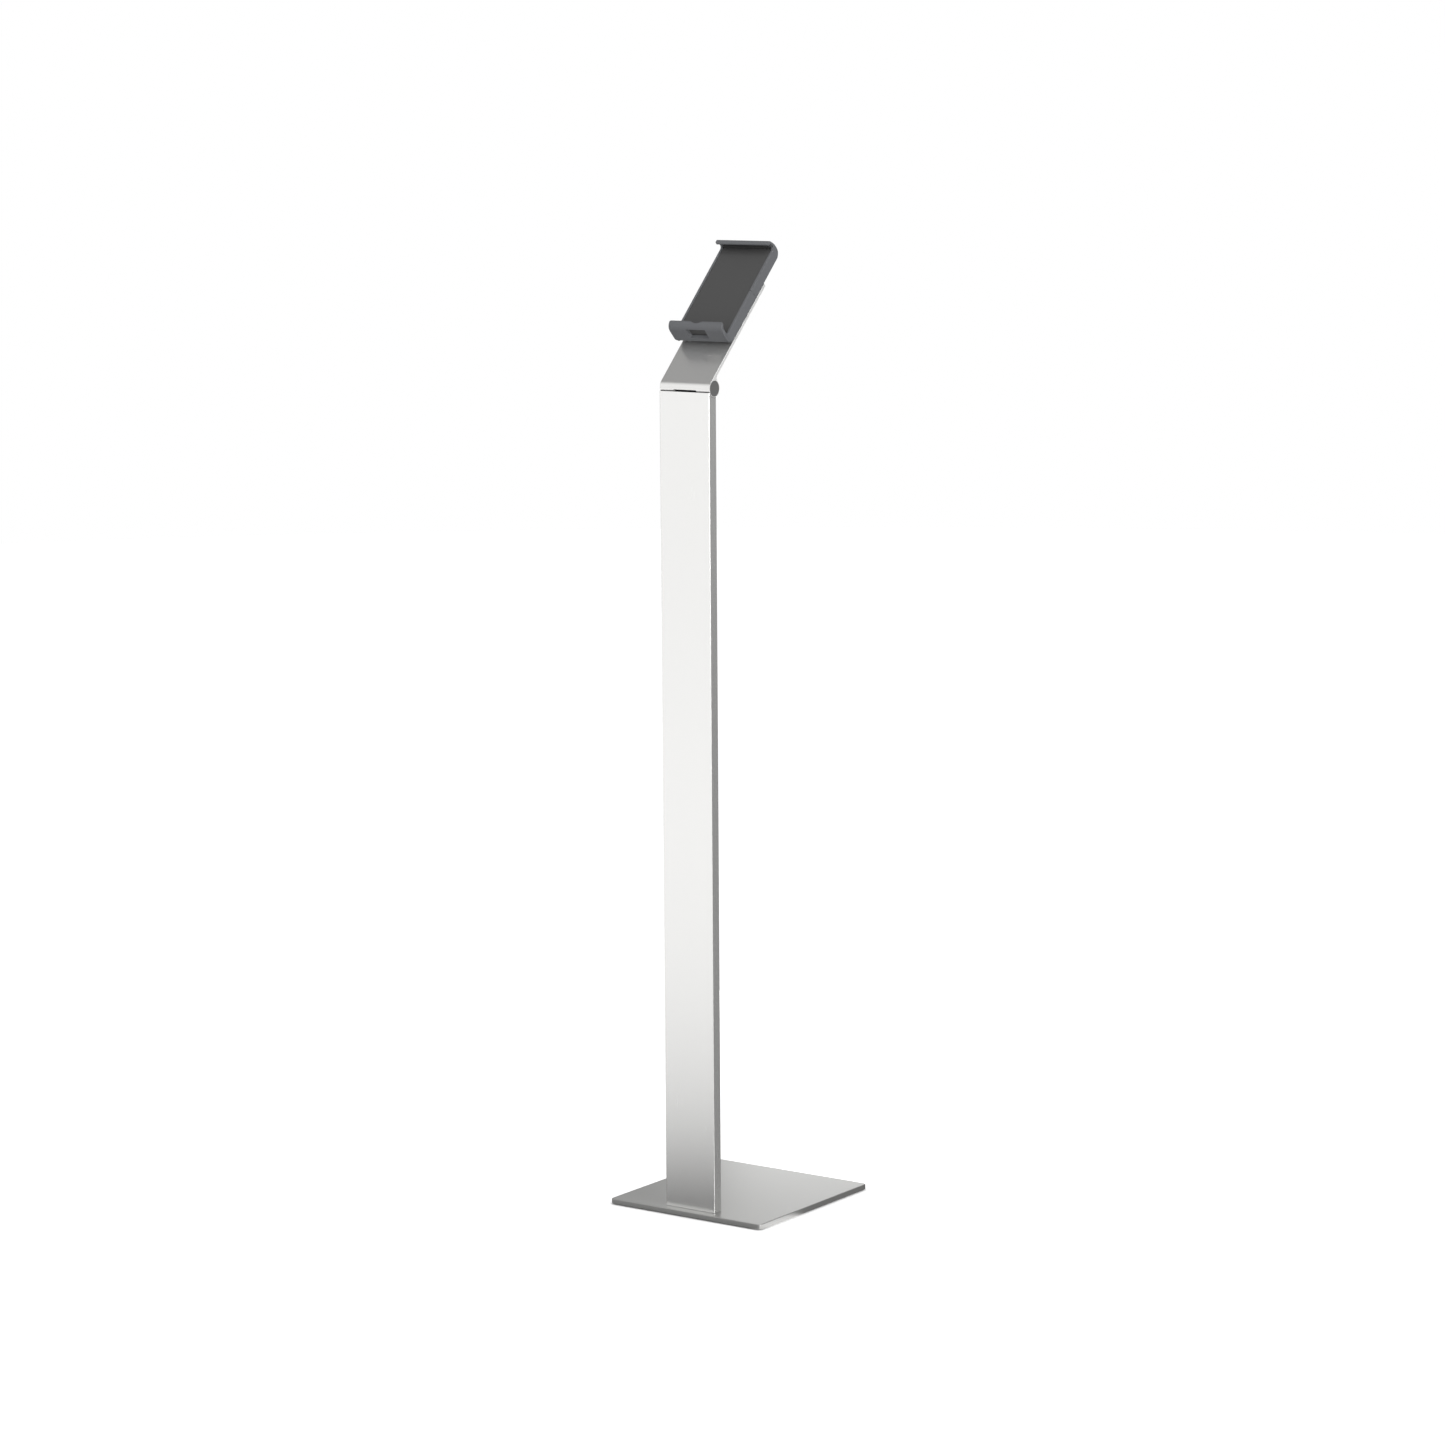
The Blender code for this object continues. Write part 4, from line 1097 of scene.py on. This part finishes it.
    def swivel_bolt(self) -> None:
        """The button-head bolt that the clamp turns on, seen on the arm's back."""
        low, high = self.head.extent("swivel_bolt")
        seat = BARREL_RADIUS - self.thickness - GAP
        profile = Screw(shank=0.004, head=high.x).dome(seat, -high.y, -low.y)
        bolt = Workpiece.turned(profile, (0, -1, 0), (0, 0, self.head.swivel_u))
        socket = forward(-high.y - 0.002, -high.y + KEY_DEPTH)
        bolt.pierce(hexagon((0, self.head.swivel_u), 0.005), Plane.FACING, socket)
        bolt.fit("swivel_bolt", ZINC_STEEL, "arm", "zinc_steel", self.head.matrix)

    def spacer(self) -> None:
        """The plain bearing disc between arm and clamp."""
        low, high = self.head.extent("swivel_spacer")
        centre = (0, self.head.swivel_u)
        rings = [circle(centre, high.x, 96), circle(centre, AXLE_HOLE, 48)]
        spacer = Workpiece.prism(rings, Plane.FACING, low.y, high.y).soften(0.0004)
        spacer.fit("swivel_spacer", ACETAL, "arm", "acetal", self.head.matrix)


# ---------------------------------------------------------------- clamp


@dataclass
class Clamp:
    """The clamp's fixed half: shell with the lower jaw, front panel, pads, screws and jaw springs."""

    head: Head
    back: float = 0.0137
    front: float = 0.0277
    back_plate_front: float = 0.0167
    back_plate_top: float = 0.196
    wall_inner: float = 0.0368
    seam: float = 0.1355
    rail: tuple[float, float] = (0.0333, 0.0364)
    rooted: float = 0.0155
    core_front: float = 0.0249
    shelf_top: float = 0.0626
    lip_back: float = 0.0425
    lip_corner: float = 0.004
    edge: float = 0.0005
    window_half: float = 0.0142
    window_n: tuple[float, float] = (0.0255, 0.040)
    notch_half: float = 0.013
    notch_depth: float = 0.004
    posts: tuple[tuple[float, float], ...] = ((-0.030, 0.0705), (0.030, 0.0705), (0.0, 0.100), (0.0, 0.1645))
    post_radius: float = 0.0032
    screw_mouth: float = 0.0033
    screw_throat: float = 0.0014
    cone_depth: float = 0.0018
    spring_x: float = 0.014
    spring_n: float = 0.022
    coil_radius: float = 0.0020
    wire_radius: float = 0.00042
    half: float = field(init=False)
    bottom: float = field(init=False)
    lip_front: float = field(init=False)
    lip_top: float = 0.068

    def __post_init__(self) -> None:
        """Reads the shell's outer sizes from the frame."""
        low, high = self.head.extent("clamp_body")
        self.half = high.x
        self.bottom = low.z
        self.lip_front = -low.y

    def build(self) -> None:
        """Makes every piece that swivels with the clamp's fixed half."""
        self.shell()
        self.panel()
        self.panel_screws()
        self.pads()
        self.springs()
        dress((f"spring_pin_low_{side}" for side, _ in SIDES), ZINC_STEEL)

    def shell_section(self) -> Outline:
        """Back plate, shelf and curled front lip in one section."""
        return across_head((
            (self.back, self.bottom, 0.010), (self.lip_front, self.bottom, 0.0090),
            (self.lip_front, self.lip_top, 0.0014), (self.lip_back, self.lip_top, 0.0014),
            (self.lip_back, self.shelf_top, 0.0045), (self.back_plate_front, self.shelf_top, 0),
            (self.back_plate_front, self.back_plate_top, 0), (self.back, self.back_plate_top, 0),
        ))

    def wall_section(self) -> Outline:
        """A side wall, standing on the shelf and rooted a little in it and in the back plate."""
        root = self.shelf_top - 0.002
        seam = self.seam - GAP / 2
        step = 0.0330
        return across_head((
            (self.rooted, root, 0), (step, root, 0), (step, self.shelf_top, 0),
            (self.front, self.shelf_top, 0.0045), (self.front, seam, 0.0006), (self.rooted, seam, 0),
        ))

    def notch(self) -> Outline:
        """A shallow dip for the thumb in the lip's edge, running out smoothly on both sides."""
        count = 32
        points = []
        for step in range(count + 1):
            x = self.notch_half * (2 * step / count - 1)
            dip = self.notch_depth * (1 + math.cos(math.pi * x / self.notch_half)) / 2
            points.append(Vector((x, self.lip_top + 0.0001 - dip)))
        top = self.lip_top + 0.002
        return [*points, Vector((self.notch_half, top)), Vector((-self.notch_half, top))]

    def shell(self) -> None:
        """The moulded shell of the fixed half."""
        body = Workpiece.prism([self.shell_section()], Plane.ACROSS, -self.half, self.half)
        through_lip = forward(self.lip_back - 2 * OVERSHOOT, self.lip_front + OVERSHOOT)
        through_back = forward(self.back - OVERSHOOT, self.back_plate_front + OVERSHOOT)
        body.round_tip(self.half, self.lip_top, self.lip_corner, 1, through_lip)
        body.pierce(self.notch(), Plane.FACING, through_lip)
        for _, sign in SIDES:
            body.extend(self.wall_section(), Plane.ACROSS, on_side(sign, (self.wall_inner, self.half)))
        body.soften(self.edge, lambda point: self.on_end(point) and point.z < self.seam - OVERSHOOT)
        for _, sign in SIDES:
            beside = on_side(sign, (self.wall_inner - GAP, self.half + OVERSHOOT))
            strip = rectangle(beside, (self.seam - GAP / 2, self.back_plate_top + OVERSHOOT))
            body.pierce(strip, Plane.FACING, through_back)
        opening = rectangle((-self.window_half, self.window_half), forward(*self.window_n), 0.0012)
        body.pierce(opening, Plane.FLAT, (self.bottom - OVERSHOOT, self.shelf_top + OVERSHOOT))
        self.fit_inside(body)
        body.fit("clamp_body", CLAMP_SHELL, "clamp", "clamp_shell", self.head.matrix)

    def on_end(self, point: Vector) -> bool:
        """Whether a point lies on the outer ends of either half."""
        return abs(abs(point.x) - self.half) < WELD

    def fit_inside(self, body: Workpiece) -> None:
        """Adds the rails, screw posts and holes that hold the panel, the slider and the swivel."""
        depth = forward(self.rooted, self.core_front)
        for _, sign in SIDES:
            rail = rectangle(on_side(sign, self.rail), (self.shelf_top - 0.0006, self.back_plate_top - 0.001))
            body.extend(rail, Plane.FACING, depth)
        for post in self.posts:
            body.extend(circle(post, self.post_radius, 32), Plane.FACING, depth)
        through_back = forward(self.back - OVERSHOOT, self.back_plate_front + OVERSHOOT)
        body.pierce(circle((0, self.head.swivel_u), AXLE_HOLE, 48), Plane.FACING, through_back)
        start, end = self.back - OVERSHOOT, self.core_front + OVERSHOOT
        mouth, throat = self.screw_mouth, self.screw_throat
        hole = [(start, 0.0), (start, mouth), (self.back, mouth), (self.back + self.cone_depth, throat),
                (end, throat), (end, 0.0)]
        for x, u in self.posts:
            body.cut(Workpiece.turned(hole, (0, -1, 0), (x, 0, u), 32))

    def panel(self) -> None:
        """The flat dark panel that a tablet lies on."""
        low, high = self.head.extent("front_panel")
        outline = rectangle((low.x, high.x), (low.z, high.z), 0.001, 4)
        panel = Workpiece.prism([outline], Plane.FACING, low.y, high.y)
        front = low.y
        panel.soften(0.0004, lambda point: abs(point.y - front) < WELD)
        for post in self.posts:
            pilot = circle(post, self.screw_throat, 24)
            panel.pierce(pilot, Plane.FACING, (high.y - 0.0014, high.y + OVERSHOOT))
        panel.fit("front_panel", CLAMP_PANEL, "clamp", "clamp_panel", self.head.matrix)

    def panel_screws(self) -> None:
        """Four small countersunk screws with a cross recess, driven in from the back."""
        for number, (x, u) in enumerate(self.posts, 1):
            low, high = self.head.extent(f"panel_screw_{number}")
            kind = Screw(shank=0.0011, head=high.x - x)
            profile = kind.countersunk(-high.y, self.back + self.cone_depth, -low.y)
            screw = Workpiece.turned(profile, (0, -1, 0), (x, 0, u), 32)
            slot = forward(-high.y - OVERSHOOT, -high.y + 0.0009)
            for half_x, half_u in ((0.0014, 0.0003), (0.0003, 0.0014)):
                bar = rectangle((x - half_x, x + half_x), (u - half_u, u + half_u))
                screw.pierce(bar, Plane.FACING, slot)
            screw.fit(f"panel_screw_{number}", ZINC_STEEL, "clamp", "zinc_steel", self.head.matrix)

    def pads(self) -> None:
        """Two ribbed rubber pads on the shelf."""
        for side, _ in SIDES:
            low, high = self.head.extent(f"lower_pad_{side}")
            pad = Workpiece.prism([ribbed_section(low, high, 1, 5)], Plane.ACROSS, low.x, high.x)
            pad.fit(f"lower_pad_{side}", RUBBER, "clamp", "rubber", self.head.matrix)

    def springs(self) -> None:
        """Close-wound springs with a straight leg at each end, drawn at rest."""
        for side, sign in SIDES:
            low, high = self.head.extent(f"jaw_spring_{side}")
            points = self.spring_line(sign * self.spring_x, low.z, high.z)
            spring = Workpiece.wire(points, self.wire_radius).obj
            spring.data.transform(self.head.matrix)
            spring.name = f"jaw_spring_{side}_look"
            spring.data.materials.clear()
            spring.data.materials.append(SPRING_STEEL.material())
            spring.data.shade_smooth()
            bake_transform(spring)
            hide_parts(f"jaw_spring_{side}")
            LOG.info("%s: stretched between clamp and upper_jaw", spring.name)

    def spring_line(self, x: float, low: float, high: float) -> list[tuple[float, float, float]]:
        """The line of one spring's wire.

        Args:
            x: The spring's place across the clamp.
            low: Its lower end along u.
            high: Its upper end along u.

        Returns:
            Points of a helix with straight legs at both ends, on the upright head.
        """
        per_turn = 10
        leg = 0.003
        turns = round((high - low - 2 * leg) / (2.3 * self.wire_radius))
        steps = turns * per_turn
        coil, y = self.coil_radius, -self.spring_n
        points = [(x + coil, y, low)]
        for step in range(steps + 1):
            turn = 2 * math.pi * step / per_turn
            u = low + leg + (high - low - 2 * leg) * step / steps
            points.append((x + coil * math.cos(turn), y + coil * math.sin(turn), u))
        return [*points, (x + coil, y, high)]


def ribbed_section(low: Vector, high: Vector, face: int, ribs: int) -> Outline:
    """The section of a rubber pad whose working face is a row of rounded ribs.

    Args:
        low: Lowest corner of the pad on the upright head.
        high: Highest corner.
        face: 1 where the ribs face up, -1 where they face down.
        ribs: How many ribs there are.

    Returns:
        The section, from back to front.
    """
    top, bottom = (high.z, low.z) if face > 0 else (low.z, high.z)
    depth = 0.4 * (top - bottom)
    count = ribs * 8
    crest = []
    for step in range(count + 1):
        y = low.y + (high.y - low.y) * step / count
        wave = abs(math.sin(math.pi * ribs * step / count))
        crest.append(Vector((y, top - depth * (1 - math.sqrt(wave)))))
    return [Vector((high.y, bottom)), Vector((low.y, bottom)), *crest][:: face]


# ---------------------------------------------------------------- upper jaw


@dataclass
class UpperJaw:
    """The sliding half: hooked shell, its rubber and the steel slider behind it."""

    head: Head
    clamp: Clamp
    hook_corner: float = 0.003
    tip: float = 0.1994
    slider_front: float = 0.0190
    slider_half: float = 0.0330
    screw_at: tuple[float, float] = (0.026, 0.189)
    half: float = field(init=False)
    top: float = field(init=False)

    def __post_init__(self) -> None:
        """Reads the jaw's outer sizes from the frame."""
        _, high = self.head.extent("upper_jaw_body")
        self.half = high.x
        self.top = high.z

    def build(self) -> None:
        """Makes every piece that slides with the jaw."""
        self.shell()
        self.pad()
        for side, _ in SIDES:
            dress((f"slider_screw_{side}", f"spring_pin_high_{side}"), ZINC_STEEL)
        dress(("slider_plate",), ZINC_STEEL)

    def hook_section(self) -> Outline:
        """The rounded top of the jaw and its lip."""
        foot = self.clamp.back_plate_top + GAP
        core = self.clamp.core_front
        return across_head((
            (self.clamp.back, foot, 0), (self.clamp.back, self.top, 0.010), (0.0310, self.top, 0.022),
            (0.0413, 0.2054, 0.0026), (0.0410, self.tip, 0.0010), (0.0386, self.tip, 0.0010),
            (0.0374, 0.2039, 0.0018), (0.0300, 0.2056, 0.003), (core, 0.2056, 0), (core, foot, 0),
        ))

    def wall_section(self) -> Outline:
        """A side wall of the jaw, from the seam to the hook."""
        seam = self.clamp.seam + GAP / 2
        return across_head((
            (self.clamp.back, seam, 0), (self.clamp.front, seam, 0.0006), (self.clamp.front, 0.2053, 0.004),
            (0.0320, 0.2053, 0), (0.0320, 0.2072, 0), (0.0200, 0.2072, 0), (self.clamp.back, 0.1990, 0),
        ))

    def shell(self) -> None:
        """The moulded shell of the sliding half."""
        jaw = Workpiece.prism([self.hook_section()], Plane.ACROSS, -self.half, self.half)
        jaw.round_tip(self.half, self.tip, self.hook_corner, -1, forward(0.035, 0.043))
        for _, sign in SIDES:
            jaw.extend(self.wall_section(), Plane.ACROSS, on_side(sign, (self.clamp.wall_inner, self.half)))
        above = self.clamp.seam + OVERSHOOT
        jaw.soften(self.clamp.edge, lambda point: self.clamp.on_end(point) and point.z > above)
        block = rectangle((-self.slider_half, self.slider_half), (0.182, 0.199))
        depth = forward(self.slider_front + GAP, self.clamp.core_front - 0.0002)
        jaw.extend(block, Plane.FACING, depth)
        for _, sign in SIDES:
            pilot = circle((sign * self.screw_at[0], self.screw_at[1]), 0.0016, 24)
            jaw.pierce(pilot, Plane.FACING, forward(self.slider_front - GAP, 0.0240))
        jaw.fit("upper_jaw_body", CLAMP_SHELL, "upper_jaw", "clamp_shell", self.head.matrix)

    def pad(self) -> None:
        """The ribbed rubber under the lip."""
        low, high = self.head.extent("upper_pad")
        pad = Workpiece.prism([ribbed_section(low, high, -1, 3)], Plane.ACROSS, low.x, high.x)
        pad.fit("upper_pad", RUBBER, "upper_jaw", "rubber", self.head.matrix)


# ---------------------------------------------------------------- studio


@dataclass(frozen=True)
class Screen:
    """A pale screen far off in the studio, soft at its edge, that the metal reflects."""

    towards: tuple[float, float, float]
    inner: float
    outer: float
    level: float

    def shape(self, graph: Graph, direction: bpy.types.NodeSocket, level: float) -> bpy.types.NodeSocket:
        """The screen's light in a direction.

        Args:
            graph: The node tree it is wired in.
            direction: A unit vector.
            level: Its light where it is brightest.

        Returns:
            The light, which is 0 outside the screen.
        """
        middle = Vector(self.towards).normalized()
        towards = graph.add("VectorMath", {0: direction, 1: middle}, operation="DOT_PRODUCT").outputs["Value"]
        edge = {0: towards, 1: math.cos(self.outer), 2: math.cos(self.inner), 4: level}
        return graph.add("MapRange", edge, interpolation_type="SMOOTHSTEP").outputs[0]


@dataclass
class Studio:
    """A pale floor, soft light and the camera."""

    azimuth: float = math.radians(35.1)
    elevation: float = math.radians(8.65)
    roll: float = math.radians(-0.36)
    lens: float = 108.23
    distance: float = 5.338
    aim_height: float = 0.6258
    aim_offset: tuple[float, float] = (0.0516, -0.1206)
    floor_radius: float = 8.0
    room: float = 0.30
    # Painted light and shade on the floor, seen only in reflections and bounce: wedge_level is a bright patch
    # towards the right front, floor_drop dims the floor for diffuse bounce, and sweep runs from dark near and
    # behind the stand to bright towards the key side.
    wedge_level: float = 1.2
    floor_drop: float = 0.45
    key_side: tuple[float, float, float] = (-0.57, -0.82, 0.0)
    sweep: tuple[tuple[float, float], ...] = (
        (0.0, 0.19), (0.16, 0.19), (0.32, 0.38), (0.6, 0.74), (1.2, 1.02), (2.6, 1.14), (8.0, 0.94)
    )
    screens: tuple[Screen, ...] = (
        Screen((-0.57, -0.82, 0.0), math.radians(25), math.radians(60), 0.74),
        Screen((-0.57, 0.81, 0.25), math.radians(10), math.radians(45), 0.24),
        Screen((0.87, -0.5, 0.1), math.radians(8), math.radians(22), 2.0),
    )

    def build(self) -> None:
        """Sets the stage."""
        self.camera()
        self.floor()
        self.world()
        self.lights()

    def camera(self) -> None:
        """The camera, level but for a slight roll, a little above the middle of the stand."""
        across, deep = self.aim_offset
        cosine, sine, level = math.cos(self.azimuth), math.sin(self.azimuth), math.cos(self.elevation)
        target = Vector((across * cosine, across * sine + deep, self.aim_height))
        back = Vector((sine * level, -cosine * level, math.sin(self.elevation)))
        right = Vector((cosine, sine, 0))
        up = back.cross(right)
        tilted_right = math.cos(self.roll) * right + math.sin(self.roll) * up
        tilted_up = math.cos(self.roll) * up - math.sin(self.roll) * right
        data = bpy.data.cameras.new("camera")
        data.lens = self.lens
        data.sensor_width = 36.0
        data.clip_end = 60.0
        camera = bpy.data.objects.new("camera", data)
        rotation = Matrix((tilted_right, tilted_up, back)).transposed().to_4x4()
        camera.matrix_world = Matrix.Translation(target + back * self.distance) @ rotation
        bpy.context.scene.collection.objects.link(camera)
        bpy.context.scene.camera = camera

    def floor(self) -> None:
        """A wide white disc. To the camera it glows white, and that glow is dimmed by ambient occlusion, a
        painted contact shadow round and under the plate; its diffuse part also takes real faint shadow. To
        all other rays it glows with painted light and shade, darker near and behind the stand and brighter
        towards the key side and the right front.
        """
        floor = Workpiece.prism([circle((0, 0), self.floor_radius, 96)], Plane.FLAT, -0.01, 0.0).obj
        floor.name = "floor"
        material = bpy.data.materials.new("studio_floor")
        material.use_nodes = True
        graph = Graph(material.node_tree)
        # Painted contact shadow: the white glow is dimmed by ambient occlusion round and under the plate.
        open_sky = graph.add("AmbientOcclusion", {"Distance": 0.06}, samples=12).outputs["AO"]
        lit = graph.math("POWER", open_sky, 2.2)
        white = graph.add(
            "BsdfPrincipled",
            {"Base Color": (0.9, 0.9, 0.9, 1), "Roughness": 0.9, "Specular IOR Level": 0.0,
             "Emission Color": (1, 1, 1, 1), "Emission Strength": graph.math("MULTIPLY", lit, 0.72)},
        )
        # Painted light and shade for all but camera rays: the floor glows dark near and behind the stand and
        # bright towards the key side, with a bright wedge towards the right front that the base's corner
        # reflects.
        place = graph.add("TexCoord").outputs["Object"]
        away = graph.add("VectorMath", {0: place, 1: self.key_side}, operation="DOT_PRODUCT").outputs["Value"]
        reach = graph.math("DIVIDE", away, self.sweep[-1][0], clamp=True)
        ramp = graph.add("ValToRGB", {0: reach})
        stops = ramp.color_ramp.elements
        while len(stops) < len(self.sweep):
            stops.new(0.5)
        for stop, (distance, level) in zip(stops, self.sweep):
            stop.position = distance / self.sweep[-1][0]
            stop.color = (level, level, level, 1)
        outward = graph.add("VectorMath", {0: place}, operation="NORMALIZE").outputs[0]
        wedge = self.screens[-1].shape(graph, outward, self.wedge_level)
        bright = graph.add("CombineColor", {0: wedge, 1: wedge, 2: wedge}).outputs[0]
        both = graph.add("Mix", {0: 1.0, 6: ramp.outputs[0], 7: bright}, data_type="RGBA", blend_type="ADD")
        rays = graph.add("LightPath").outputs
        # Painted shade: diffuse bounce sees the floor dimmer, which darkens the clamp's underside.
        bounced = graph.math("SUBTRACT", 1.0, graph.math("MULTIPLY", rays["Is Diffuse Ray"], self.floor_drop))
        painted_reflection_glow = graph.add("Emission", {"Color": both.outputs[2], "Strength": bounced})
        surface = graph.add("MixShader", {0: rays["Is Camera Ray"], 1: painted_reflection_glow.outputs[0], 2: white.outputs[0]})
        graph.add("OutputMaterial", {"Surface": surface.outputs[0]})
        floor.data.materials.append(material)

    def world(self) -> None:
        """White to the eye; a soft grey room with pale screens to the surfaces."""
        world = bpy.data.worlds.new("studio")
        bpy.context.scene.world = world
        world.use_nodes = True
        graph = Graph(world.node_tree)
        direction = graph.add("TexCoord").outputs["Generated"]
        level: object = self.room
        for screen in self.screens:
            level = graph.math("ADD", level, screen.shape(graph, direction, screen.level))
        grey = graph.add("CombineColor", {0: level, 1: level, 2: level}).outputs[0]
        seen = graph.add("LightPath").outputs["Is Camera Ray"]
        colour = graph.mix_colour(seen, grey, (1, 1, 1, 1))
        background = graph.add("Background", {"Color": colour, "Strength": 1.0})
        graph.add("OutputWorld", {"Surface": background.outputs[0]})

    def lights(self) -> None:
        """A large soft panel overhead, one at the right, and a low card behind that grazes the plate."""
        self.light("top_light", (1.3, -0.9, 3.1), (1.8, 1.8), 23.0)
        self.light("right_light", (3.0, -0.8, 1.5), (1.4, 1.8), 48.0)
        self.light("back_card", (-0.58, 1.07, 0.16), (0.35, 0.3), 0.85, 0.0)

    def light(
        self, name: str, at: Sequence[float], size: Sequence[float], power: float, aim_height: float = 0.8
    ) -> None:
        """One rectangular light that looks at the stand.

        Args:
            name: The light's name.
            at: Where it stands.
            size: Its width and height.
            power: Its power in watts.
            aim_height: The height on the stand that it looks at.
        """
        data = bpy.data.lights.new(name, "AREA")
        data.shape = "RECTANGLE"
        data.size, data.size_y = size
        data.energy = power
        light = bpy.data.objects.new(name, data)
        light.visible_camera = False
        light.location = at
        aim = Vector((0, 0, aim_height)) - light.location
        light.rotation_euler = aim.to_track_quat("-Z", "Y").to_euler()
        bpy.context.scene.collection.objects.link(light)


def main() -> None:
    """Builds the stand's looks, part by part."""
    logging.basicConfig(level=logging.INFO, format="%(message)s")
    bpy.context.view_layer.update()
    bpy.context.scene.view_settings.view_transform = "Standard"
    head = Head.from_joints(frame["joints"])
    Stand().build(head)
    Arm(head).build()
    clamp = Clamp(head)
    clamp.build()
    UpperJaw(head, clamp).build()
    Studio().build()


if __name__ == "__main__":
    main()
